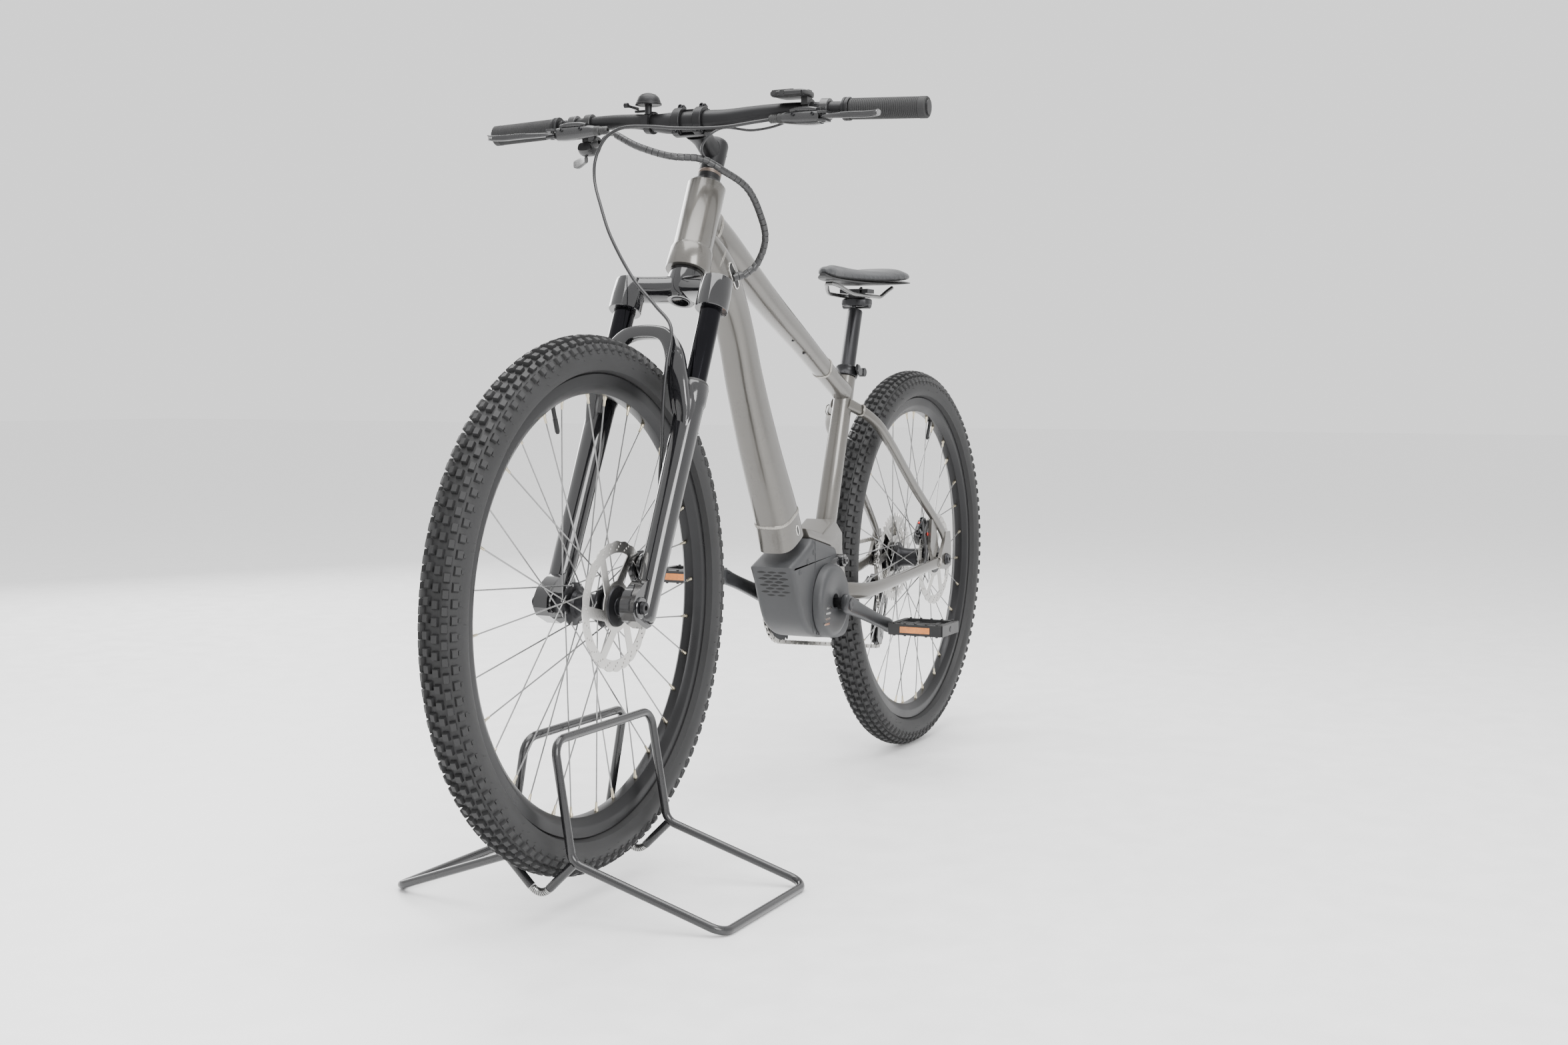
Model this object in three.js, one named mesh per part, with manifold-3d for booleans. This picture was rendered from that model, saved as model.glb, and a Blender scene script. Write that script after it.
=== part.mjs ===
// A hardtail electric mountain bicycle whose front wheel stands in a sprung wire display stand.
// Millimetres. +X points the way the bicycle rides, +Y to its left and +Z up. The origin is on the
// floor, midway between the two wheel axles.
import * as THREE from 'three';
import { mergeVertices } from 'three/addons/utils/BufferGeometryUtils.js';
import Module from 'manifold-3d';

const wasm = await Module();
wasm.setup();

// ---------------------------------------------------------------- driving dimensions
const WHEELBASE = 1221;
const TYRE_RADIUS = 370; // a 29 x 2.4 tyre over its knobs
const TYRE_HALF_WIDTH = 29.5;
const STAND_LIFT = 35; // the stand holds the front wheel this far off the floor
const GAP = 0.3; // between pieces that touch
const CHAIN_GAP = 1.2; // between the chain and the wheels it runs on
const HEAD = { x: 326.5, z: 875, tilt: -25.5, length: 147.6 }; // foot of the head tube
const RAKE = 54; // front axle ahead of the steering axis
const AXLE_DROP = 546.5; // front axle below the head tube, along the steering axis
const LEG = { forward: 30, side: 72, radius: 20, top: 201 }; // fork leg, in the steering frame
const STANCHION_RADIUS = 16;
const BAR = { forward: 84, up: 208, end: 368, clamp: 15.9, tip: 11.1 };
const BOTTOM_BRACKET = { x: -125.5, z: 332 };
const PEDAL = { middle: 152, length: 92, width: 104, height: 24, slot: 22, slotFromMiddle: 26 };
const CRANK = { length: 170, rearDown: 19, side: 72 }; // left crank points back and down
const SEAT = { x: -186, z: 440, up: 71.2 }; // a point on the seat tube's axis, and its slope
const ROTOR_RADIUS = 90;
const SPOKES = 32;
const NIPPLE_RADIUS = 287.6;
const CHAIN = { pitch: 12.7, line: -53, half: 4, width: 6 };
const TEETH = { ring: 36, cog: 20, jockey: 11 };
const STAND = {
  rod: 6, reach: 129, hoopTop: 240, hoopSide: 22, knee: 82, kneeSide: 49, foot: 256, splay: 30,
};

const FRONT_AXLE = [WHEELBASE / 2, TYRE_RADIUS + STAND_LIFT];
const REAR_AXLE = [-WHEELBASE / 2, TYRE_RADIUS];

// ---------------------------------------------------------------- finishes
const finish = (color, roughness, metalness) => new THREE.MeshStandardMaterial(
  { color, roughness, metalness },
);
const FINISH = {
  frame: finish(0x6f6a64, 0.4, 0.6),
  gloss: finish(0x0b0b0c, 0.15, 0.2),
  satin: finish(0x1a1a1b, 0.45, 0.3),
  matte: finish(0x2a2a2b, 0.7, 0.1),
  rubber: finish(0x181818, 0.85, 0),
  steel: finish(0xb8b8b6, 0.3, 1),
  cable: finish(0x101010, 0.5, 0),
  vinyl: finish(0x26272a, 0.6, 0),
  spring: finish(0x8c8c8c, 0.35, 0.9),
};

// ---------------------------------------------------------------- geometry tools
const V = (x, y, z) => new THREE.Vector3(x, y, z);
const radians = THREE.MathUtils.degToRad;
const mirror = (p) => V(p.x, -p.y, p.z);

// The geometry with welded vertices and its faces turned outwards.
function welded(geometry) {
  const bare = geometry.clone();
  bare.deleteAttribute('normal');
  bare.deleteAttribute('uv');
  const merged = mergeVertices(bare, 1e-4);
  const index = merged.index.array;
  const at = merged.attributes.position;
  const [a, b, c] = [V(), V(), V()];
  const kept = [];
  let volume = 0;
  for (let i = 0; i < index.length; i += 3) {
    const corner = [index[i], index[i + 1], index[i + 2]];
    if (new Set(corner).size < 3) continue;
    kept.push(...corner);
    a.fromBufferAttribute(at, corner[0]);
    b.fromBufferAttribute(at, corner[1]);
    c.fromBufferAttribute(at, corner[2]);
    volume += a.dot(b.cross(c));
  }
  merged.setIndex(volume < 0 ? kept.reverse() : kept);
  return merged;
}

function solid(geometry) {
  const shape = welded(geometry);
  return new wasm.Manifold(new wasm.Mesh({
    numProp: 3,
    vertProperties: new Float32Array(shape.attributes.position.array),
    triVerts: new Uint32Array(shape.index.array),
  }));
}

function surface(manifold) {
  const mesh = manifold.getMesh();
  const geometry = new THREE.BufferGeometry();
  geometry.setAttribute('position', new THREE.BufferAttribute(mesh.vertProperties, 3));
  geometry.setIndex(new THREE.BufferAttribute(mesh.triVerts, 1));
  return geometry;
}

const join = (...pieces) => surface(pieces.map(solid).reduce((whole, piece) => whole.add(piece)));
const cut = (body, ...tools) => surface(
  tools.map(solid).reduce((rest, tool) => rest.subtract(tool), solid(body)),
);

// A path whose stations are exactly the points given.
class StationPath extends THREE.Curve {
  constructor(points) {
    super();
    this.points = points;
  }

  getPoint(t, target = V()) {
    const place = t * (this.points.length - 1);
    const i = Math.min(Math.floor(place), this.points.length - 2);
    return target.lerpVectors(this.points[i], this.points[i + 1], place - i);
  }

  getPointAt(u, target = V()) {
    return this.getPoint(u, target);
  }

  getSpacedPoints(count) {
    return Array.from({ length: count + 1 }, (_, i) => this.getPoint(i / count));
  }

  getTangentAt(u, target = V()) {
    const last = this.points.length - 1;
    const closed = this.points[0] === this.points[last];
    const i = Math.round(u * last);
    const before = this.points[i > 0 ? i - 1 : last - 1];
    const after = this.points[i < last ? i + 1 : 1];
    target.set(0, 0, 0);
    if (i > 0 || closed) target.add(this.points[i].clone().sub(before).normalize());
    if (i < last || closed) target.add(after.clone().sub(this.points[i]).normalize());
    return target.normalize();
  }
}

const ngon = (sides, radius) => new THREE.Shape(Array.from({ length: sides }, (_, i) => {
  const angle = (2 * Math.PI * i) / sides;
  return new THREE.Vector2(radius * Math.cos(angle), radius * Math.sin(angle));
}));

// A round rod through the stations.
function rod(points, radius, sides = 8) {
  return new THREE.ExtrudeGeometry(ngon(sides, radius), {
    steps: points.length - 1,
    extrudePath: new StationPath(points),
  });
}

// The polyline with each inner corner rounded by an arc of the radius given.
function bend(corners, radius, steps = 5) {
  const out = [corners[0]];
  for (let i = 1; i < corners.length - 1; i++) {
    const before = corners[i - 1].clone().sub(corners[i]).normalize();
    const after = corners[i + 1].clone().sub(corners[i]).normalize();
    const half = before.angleTo(after) / 2;
    const set = radius / Math.tan(half);
    const start = corners[i].clone().addScaledVector(before, set);
    const end = corners[i].clone().addScaledVector(after, set);
    const inwards = before.clone().add(after).normalize();
    const middle = corners[i].clone().addScaledVector(inwards, radius / Math.sin(half));
    const turn = Math.PI - 2 * half;
    for (let k = 0; k <= steps; k++) {
      const s = k / steps;
      const from = start.clone().sub(middle).multiplyScalar(Math.sin((1 - s) * turn) / Math.sin(turn));
      const to = end.clone().sub(middle).multiplyScalar(Math.sin(s * turn) / Math.sin(turn));
      out.push(middle.clone().add(from).add(to));
    }
  }
  out.push(corners.at(-1));
  return out;
}

function smooth(points, count) {
  return new THREE.CatmullRomCurve3(points, false, 'centripetal').getSpacedPoints(count);
}

// A cylinder or cone between two points.
function cylinder(from, to, radius, endRadius = radius, sides = 12) {
  const along = to.clone().sub(from);
  const shape = new THREE.CylinderGeometry(endRadius, radius, along.length(), sides);
  shape.applyQuaternion(new THREE.Quaternion().setFromUnitVectors(V(0, 1, 0), along.normalize()));
  return shape.translate((from.x + to.x) / 2, (from.y + to.y) / 2, (from.z + to.z) / 2);
}

// A ring or disc turned about the Y axis, from [radius, y] points that close on themselves.
function turned(profile, sides = 32) {
  const points = [...profile, profile[0]].map(([radius, y]) => new THREE.Vector2(radius, y));
  return new THREE.LatheGeometry(points, sides);
}

// The same, about the Z axis, from [radius, z] points.
const turnedUp = (profile, sides = 16) => turned(profile, sides).rotateX(Math.PI / 2);

// A flat plate whose outline is in the XZ plane, between two Y values.
function plate(outline, low, high, holes = [], bevel = 0) {
  const drawn = outline instanceof THREE.Shape;
  const shape = drawn ? outline : new THREE.Shape(outline.map(([x, z]) => new THREE.Vector2(x, z)));
  shape.holes.push(...holes);
  const shapeSettings = { depth: high - low - 2 * bevel, bevelEnabled: bevel > 0, bevelThickness: bevel,
    bevelSize: bevel, bevelOffset: -bevel, bevelSegments: 2, curveSegments: 12 };
  return new THREE.ExtrudeGeometry(shape, shapeSettings).rotateX(Math.PI / 2).translate(0, high - bevel, 0);
}

function block(x, y, z, sizeX, sizeY, sizeZ) {
  return new THREE.BoxGeometry(sizeX, sizeY, sizeZ).translate(x, y, z);
}

// A tube through stations {at, wide, deep}: half its Y size, and half its size across its own slope.
// A higher square makes the section boxier.
function tube(stations, square = 2, sides = 16, across = V(0, 1, 0)) {
  const path = new StationPath(stations.map((s) => s.at));
  const rings = stations.map(({ at, wide, deep }, i) => {
    const along = path.getTangentAt(i / (stations.length - 1));
    const side = across.clone().addScaledVector(along, -across.dot(along)).normalize();
    const up = along.clone().cross(side);
    return Array.from({ length: sides }, (_, k) => {
      const angle = (2 * Math.PI * (k + 0.5)) / sides;
      const [c, s] = [Math.cos(angle), Math.sin(angle)];
      const w = wide * Math.sign(c) * Math.abs(c) ** (2 / square);
      const d = deep * Math.sign(s) * Math.abs(s) ** (2 / square);
      return at.clone().addScaledVector(side, w).addScaledVector(up, d);
    });
  });
  return skin(rings);
}

// A closed solid over a row of rings, with a flat cap at each end.
function skin(rings) {
  const sides = rings[0].length;
  const middle = (ring) => ring.reduce((sum, p) => sum.add(p), V(0, 0, 0)).divideScalar(sides);
  const points = [...rings.flat(), middle(rings[0]), middle(rings.at(-1))];
  const faces = [];
  for (let r = 0; r < rings.length - 1; r++) {
    for (let k = 0; k < sides; k++) {
      const [a, b] = [r * sides + k, r * sides + ((k + 1) % sides)];
      faces.push(a, b, a + sides, b, b + sides, a + sides);
    }
  }
  const last = (rings.length - 1) * sides;
  for (let k = 0; k < sides; k++) {
    const next = (k + 1) % sides;
    faces.push(next, k, points.length - 2, last + k, last + next, points.length - 1);
  }
  const geometry = new THREE.BufferGeometry().setFromPoints(points);
  geometry.setIndex(faces);
  return geometry;
}

const station = (x, y, z, wide, deep) => ({ at: V(x, y, z), wide, deep });

const bicycle = new THREE.Group();

function node(parent, name, geometry, material) {
  const mesh = new THREE.Mesh(welded(geometry), material);
  mesh.name = name;
  parent.add(mesh);
}

function groupAt(x, y, z) {
  const group = new THREE.Group();
  group.position.set(x, y, z);
  bicycle.add(group);
  return group;
}

// ---------------------------------------------------------------- display stand
// Each half is one closed loop of rod: an upright hoop beside the wheel and a bar out on the floor.
const standX = FRONT_AXLE[0];

function standHalf(side) {
  const { rod: radius, reach, hoopTop, hoopSide, knee, kneeSide, foot, splay } = STAND;
  const corners = [V(0, side * hoopSide, hoopTop), V(reach, side * hoopSide, hoopTop),
    V(reach, side * kneeSide, knee), V(reach - splay, side * foot, radius), V(-reach - splay, side * foot, radius),
    V(-reach, side * kneeSide, knee), V(-reach, side * hoopSide, hoopTop), V(-reach / 2, side * hoopSide, hoopTop)];
  const stations = bend(corners, 22, 4);
  const path = new StationPath([...stations, stations[0]]);
  const loop = new THREE.TubeGeometry(path, stations.length, radius, 8, true);
  const stub = (end) => cylinder(V(end * reach, side * (kneeSide + 3), knee - 2), V(end * reach, side * 14, 43),
    radius, radius, 8);
  return join(loop, stub(1), stub(-1));
}

// The close-coiled spring between the two stubs sags into a U under the tyre.
function standSpring(end) {
  const x = end * STAND.reach;
  const sag = [V(x, 13.3, 42.3), V(x, 10, 39.7), V(x, 5, 37.2), V(x, 0, 36.3), V(x, -5, 37.2), V(x, -10, 39.7),
    V(x, -13.3, 42.3)];
  return rod(sag, 5.7, 10);
}

const stand = groupAt(standX, 0, 0);
node(stand, 'stand_left_loop', standHalf(1), FINISH.gloss);
node(stand, 'stand_right_loop', standHalf(-1), FINISH.gloss);
node(stand, 'stand_front_spring', standSpring(1), FINISH.spring);
node(stand, 'stand_rear_spring', standSpring(-1), FINISH.spring);

// ---------------------------------------------------------------- wheels
const RIM = { outer: 317, bed: 306, inner: 289, lip: 15.5 };
const ROUND = 40; // flats around a tyre, rim or brake disc

function tyre() {
  const half = TYRE_HALF_WIDTH;
  const right = [[RIM.bed + GAP, 10.4], [RIM.outer + 1, 12], [336, half - 1.5], [351, half], [365, half - 3],
    [TYRE_RADIUS, half - 11]];
  return turned([...right, ...right.map(([r, y]) => [r, -y]).reverse()], ROUND);
}

function rim() {
  const { outer, bed, inner, lip } = RIM;
  const half = [[inner, 6], [inner + 13, lip], [outer, lip], [bed, 11]];
  return turned([...half, ...half.map(([r, y]) => [r, -y]).reverse()], ROUND);
}

// Hub shell with its flanges, and the spokes laced three times across.
function hub(shell, flangeLeft, flangeRight, phase) {
  const spokes = Array.from({ length: SPOKES }, (_, i) => {
    const side = i % 2 ? -flangeRight : flangeLeft;
    const rimAngle = phase + (2 * Math.PI * i) / SPOKES;
    const lean = Math.floor(i / 2) % 2 ? 1 : -1;
    const hubAngle = rimAngle + lean * radians(62);
    const inner = V(28 * Math.cos(hubAngle), side + lean * 1.7, 28 * Math.sin(hubAngle));
    const outer = V(
      NIPPLE_RADIUS * Math.cos(rimAngle), Math.sign(side) * 3, NIPPLE_RADIUS * Math.sin(rimAngle),
    );
    return cylinder(inner, outer, 1.1, 1.3, 3);
  });
  return join(turned(shell, 18), ...spokes);
}

// A disc about the Y axis with a bore, and windows between its arms.
function spoked(radius, bore, arms, windowIn, windowOut, low, high) {
  const arc = (r, from, to) => Array.from({ length: 6 }, (_, k) => {
    const angle = radians(from + ((to - from) * k) / 5);
    return new THREE.Vector2(r * Math.cos(angle), r * Math.sin(angle));
  });
  const pitch = 360 / arms;
  const windows = Array.from({ length: arms }, (_, i) => new THREE.Path([
    ...arc(windowOut, pitch * (i + 0.14), pitch * (i + 0.86)),
    ...arc(windowIn, pitch * (i + 0.76), pitch * (i + 0.24)),
  ]));
  return plate(ngon(ROUND, radius), low, high, [ngon(18, bore), ...windows]);
}

const rotor = (y) => spoked(ROTOR_RADIUS, 21.4, 6, 33, 72, y - 0.9, y + 0.9);

const frontWheel = groupAt(FRONT_AXLE[0], 0, FRONT_AXLE[1]);
const rearWheel = groupAt(REAR_AXLE[0], 0, REAR_AXLE[1]);
const frontShell = [[8, -54.5], [14, -54.5], [14, -33], [30, -27], [30, -23], [16, -18], [16, 18], [30, 22],
  [30, 27], [21, 30], [21, 45], [12, 46], [12, 54.5], [8, 54.5]];
const rearShell = [[6.8, -69.5], [10, -69.5], [10, -67.5], [16.6, -67], [16.6, -30], [29, -27], [29, -23], [18, -18],
  [18, 24], [30, 28], [30, 32], [21, 35], [21, 55], [12, 56], [12, 69.5], [6.8, 69.5]];
node(frontWheel, 'front_tyre', tyre(), FINISH.rubber);
node(frontWheel, 'front_rim', rim(), FINISH.satin);
node(frontWheel, 'front_hub_and_spokes', hub(frontShell, 24.5, 25, radians(65.7)), FINISH.satin);
node(frontWheel, 'front_rotor', rotor(42), FINISH.steel);
node(rearWheel, 'rear_tyre', tyre(), FINISH.rubber);
node(rearWheel, 'rear_rim', rim(), FINISH.satin);
node(rearWheel, 'rear_hub_and_spokes', hub(rearShell, 30, 25, radians(106.1)), FINISH.satin);
node(rearWheel, 'rear_rotor', rotor(52), FINISH.steel);

// ---------------------------------------------------------------- steering frame
// In this group X is ahead of the steering axis and Z is up along it, from the head tube's foot.
const steering = groupAt(HEAD.x, 0, HEAD.z);
steering.rotation.y = radians(HEAD.tilt);

const legLine = (side, z) => V(LEG.forward, side * LEG.side, z);

function forkLowers() {
  const { top, radius, side } = LEG;
  const pieces = [];
  const bores = [];
  for (const s of [1, -1]) {
    pieces.push(cylinder(legLine(s, -560), legLine(s, -top), radius - 2.5, radius));
    pieces.push(cylinder(legLine(s, -top - 30), legLine(s, -top), 22, 22));
    pieces.push(plate([[13, -505], [48, -505], [73, -535], [73, -560], [55, -568], [22, -568], [13, -560]],
      s > 0 ? 55.3 : -82, s > 0 ? 82 : -55.3, [], 3));
    bores.push(cylinder(legLine(s, -505), legLine(s, -top + 5), STANCHION_RADIUS + 0.4, STANCHION_RADIUS + 0.4));
    bores.push(cylinder(V(RAKE, s * 50, -AXLE_DROP), V(RAKE, s * 90, -AXLE_DROP), 7.9, 7.9));
  }
  const post = [V(34, side, -262), V(56, side - 4, -235), V(66, 60, -190), V(67, 43, -143)];
  const arch = [...post, ...post.map(mirror).reverse()].map((at) => ({ at, wide: 8, deep: 9 }));
  return cut(join(...pieces, tube(arch, 3, 8, V(1, 0, 0))), ...bores);
}

function forkCrown() {
  const clamps = [1, -1].map((s) => cylinder(legLine(s, -81), legLine(s, -31), 24.5, 22.5));
  const arms = tube([-LEG.side, -36, 0, 36, LEG.side].map((y) => ({
    at: V(LEG.forward * (Math.abs(y) / LEG.side) ** 1.3, y, -28 - 0.22 * Math.abs(y)),
    wide: 24 - 0.04 * Math.abs(y),
    deep: 17,
  })), 2.6, 12, V(1, 0, 0));
  const race = cylinder(V(0, 0, -30), V(0, 0, -1.2), 27, 25.5, 24);
  const steerer = cylinder(V(0, 0, -20), V(0, 0, 221), 14.3, 14.3);
  const bores = [1, -1].map((s) => cylinder(legLine(s, -90), legLine(s, -40), STANCHION_RADIUS + GAP));
  const hollow = cylinder(V(0, 0, -60), V(0, 0, 205), 11.5, 11.5, 16);
  return cut(join(...clamps, arms, race, steerer), ...bores, hollow);
}

const stanchion = (side) => cylinder(legLine(side, -352), legLine(side, -40.5), STANCHION_RADIUS);

node(steering, 'fork_lowers', forkLowers(), FINISH.gloss);
node(steering, 'front_axle', join(
  cylinder(V(RAKE, -90, -AXLE_DROP), V(RAKE, 84, -AXLE_DROP), 7.5, 7.5, 16),
  cylinder(V(RAKE, 82.5, -AXLE_DROP), V(RAKE, 88, -AXLE_DROP), 9, 8, 12),
), FINISH.satin);
node(steering, 'fork_crown', forkCrown(), FINISH.gloss);
node(steering, 'left_stanchion', stanchion(1), FINISH.gloss);
node(steering, 'right_stanchion', stanchion(-1), FINISH.gloss);

const spacerTop = 183;
node(steering, 'headset_spacers', turnedUp([[14.7, HEAD.length + GAP], [27, HEAD.length + GAP], [26, 152],
  [19, 157], [18, 158], [18, spacerTop], [14.7, spacerTop]]), FINISH.satin);

const barCentre = V(BAR.forward, 0, BAR.up);
const barAxis = (radius, half) => cylinder(V(BAR.forward, -half, BAR.up), V(BAR.forward, half, BAR.up), radius,
  radius, 24);
node(steering, 'stem', cut(join(
  cylinder(V(0, 0, spacerTop + GAP), V(0, 0, 224), 19, 19, 24),
  cylinder(V(0, 0, 224), V(0, 0, 228), 17.5, 16, 24),
  tube([{ at: V(5, 0, 204), wide: 15, deep: 17 }, { at: V(42, 0, 206), wide: 15, deep: 15 },
    { at: V(72, 0, BAR.up), wide: 22, deep: 17 }], 3, 12),
  cut(barAxis(22, 26), block(BAR.forward + 22, 0, BAR.up, 44, 60, 60)),
), cylinder(V(0, 0, 160), V(0, 0, 221.4), 14.6), barAxis(BAR.clamp + GAP, 40)), FINISH.satin);
node(steering, 'stem_faceplate', cut(barAxis(22, 26), barAxis(BAR.clamp + GAP, 40),
  block(BAR.forward - 20.5, 0, BAR.up, 44, 60, 60)), FINISH.satin);

// A point of the steering group, in the bicycle's own directions.
const steeringUp = V(Math.sin(radians(HEAD.tilt)), 0, Math.cos(radians(HEAD.tilt)));
const steeringAhead = V(Math.cos(radians(HEAD.tilt)), 0, -Math.sin(radians(HEAD.tilt)));
function inBicycle(p) {
  return V(HEAD.x, p.y, HEAD.z).addScaledVector(steeringAhead, p.x).addScaledVector(steeringUp, p.z);
}
const BAR_AT = inBicycle(barCentre);

// ---------------------------------------------------------------- handlebar and controls
const barHalf = [
  { at: V(0, 0, 0), r: BAR.clamp }, { at: V(0, 34, 0), r: BAR.clamp }, { at: V(-1, 60, 2), r: 13.5 },
  { at: V(-5, 100, 7), r: BAR.tip }, { at: V(-10, 140, 9), r: BAR.tip }, { at: V(-15, 180, 9), r: BAR.tip },
  { at: V(-27.5, BAR.end, 3), r: BAR.tip },
];
const bar = groupAt(BAR_AT.x, 0, BAR_AT.z);
const barStations = [...barHalf.slice(1).reverse().map(({ at, r }) => ({ at: mirror(at), wide: r, deep: r })),
  ...barHalf.map(({ at, r }) => ({ at, wide: r, deep: r }))];
node(bar, 'handlebar', tube(barStations, 2, 16, V(0, 0, 1)), FINISH.satin);

// A point on the straight outer part of the bar, for the side (1 left, -1 right) and distance out.
function onBar(side, out) {
  const [a, b] = [barHalf.at(-2).at, barHalf.at(-1).at];
  const p = a.clone().lerp(b, (out - a.y) / (b.y - a.y));
  return side > 0 ? p : mirror(p);
}

const onBarAxis = (side, from, to, radius, sides = 16) => cylinder(onBar(side, from), onBar(side, to), radius,
  radius, sides);

function grip(side) {
  return cut(join(onBarAxis(side, 240, 250, 17), onBarAxis(side, 249, 366, 15.6)),
    onBarAxis(side, 230, BAR.end + 5, BAR.tip + GAP + 0.2));
}

// Clamp, master cylinder and reservoir, with the lever's pivot ears.
function master(side) {
  const barrel = tube([station(14, side * 150, -6, 8, 8), station(15, side * 160, -6, 10, 10),
    station(17, side * 205, -8, 11, 11), station(21, side * 226, -9, 9, 8)], 2.4, 12, V(0, 0, 1));
  return cut(join(onBarAxis(side, 206, 219, 16), barrel, block(6, side * 212.5, 0, 24, 12, 16)),
    onBarAxis(side, 190, 236, BAR.tip + GAP + 0.2), block(24, side * 227, -9, 26, 16, 6.6));
}

// Lever blade, hooked at its tip, from the pivot ears out in front of the grip.
function lever(side) {
  const points = [[21, 223, -9], [34, 236, -10], [44, 262, -12], [45, 300, -13], [49, 322, -13]];
  return tube(points.map(([x, y, z], i) => ({ at: V(x, side * y, z), wide: i ? 4 : 2.9, deep: i ? 5 : 4 })),
    2.5, 8, V(0, 0, 1));
}

for (const [side, name] of [[1, 'left'], [-1, 'right']]) {
  node(bar, `${name}_grip`, grip(side), FINISH.rubber);
  node(bar, `${name}_brake_master`, master(side), FINISH.gloss);
  node(bar, `${name}_brake_lever`, lever(side), FINISH.gloss);
}

node(bar, 'shifter_body', cut(join(onBarAxis(-1, 178, 190, 15.5),
  plate([[-34, -34], [-6, -40], [3, -30], [2, -4], [-28, -2]], -202, -172, [], 3)),
onBarAxis(-1, 160, 236, BAR.tip + GAP + 0.2)), FINISH.satin);
const paddleSpine = [station(-12, -190, -44.8, 5, 3), station(-24, -203, -46, 6, 2.5),
  station(-37, -219, -46.5, 8, 2.8), station(-45, -231, -46, 6, 2.4)];
node(bar, 'shift_paddle', tube(paddleSpine, 3, 8, V(0, 0, 1)), FINISH.satin);
node(bar, 'display_unit', cut(join(onBarAxis(1, 181, 191, 15.5),
  plate([[-20, 23], [24, 23], [28, 27], [28, 34], [-22, 34], [-22, 25]], 140, 196, [], 2),
  block(-12, 186, 22, 12, 8, 8)), onBarAxis(1, 175, 200, BAR.tip + GAP + 0.2),
block(-8, 186, 33.5, 12.6, 12.6, 6.5)), FINISH.satin);
node(bar, 'display_button', block(-8, 186, 34.3, 12, 12, 4), FINISH.matte);
const besideStem = (y) => barHalf[2].at.clone().lerp(barHalf[3].at, (y - 60) / 40).multiply(V(1, -1, 1));
const bellDome = turnedUp([[0, 28], [20, 28], [20, 32], [15, 42], [7, 46], [0, 46]]).translate(6, -70, 0);
const bellBand = cylinder(besideStem(64), besideStem(76), 17);
const bellPost = cylinder(V(6, -70, 14), V(6, -70, 30), 6);
const bellShelf = block(-2, -84, 21, 8, 24, 3);
const bellBore = cylinder(besideStem(56), besideStem(84), 14.2);
const strikerKnob = cylinder(V(33, -96, 25.5), V(33, -89, 25.5), 4, 4, 12);
node(bar, 'bell', cut(join(bellBand, bellPost, bellShelf, bellDome), bellBore), FINISH.satin);
node(bar, 'bell_striker', join(block(13, -93, 25.5, 36, 3, 5), strikerKnob), FINISH.satin);

// Hoses and cables, whole from end to end.
const HOSE = [[327, 147, 1093], [331, 118, 1090], [346, 66, 1083], [358, 0, 1084], [362, -50, 1089],
  [366, -90, 1088], [370, -115, 1074], [375, -129, 1044], [385, -125, 1011], [400, -107, 975],
  [415, -80, 924], [426, -36, 861], [442, 10, 820], [462, 46, 788], [480, 49, 738], [486, 47, 691],
  [490, 46.5, 622], [497, 46.5, 569], [496, 46.5, 520], [496, 45, 487], [504, 43.6, 469],
  [516.6, 43, 461.6]].map((p) => V(...p));
const BUNDLE = [[326, -147, 1091], [342, -112, 1082], [352, -70, 1062], [346, -20, 1046], [322, 22, 1042],
  [304, 45, 1028], [257, 66, 1003], [222, 74, 958], [206, 71, 928], [205, 58, 896], [218, 44, 878],
  [230, 35.6, 873]].map((p) => V(...p));
node(bicycle, 'front_brake_hose', rod(smooth(HOSE, 60), 2.5), FINISH.cable);
node(bicycle, 'control_cables', rod(smooth(BUNDLE, 32), 5.5, 10), FINISH.cable);

// ---------------------------------------------------------------- frame
const seatUp = V(-Math.cos(radians(SEAT.up)), 0, Math.sin(radians(SEAT.up)));
const onSeat = (height) => V(SEAT.x, 0, SEAT.z).addScaledVector(seatUp, height);
const SEAT_TUBE_TOP = 300;

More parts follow.
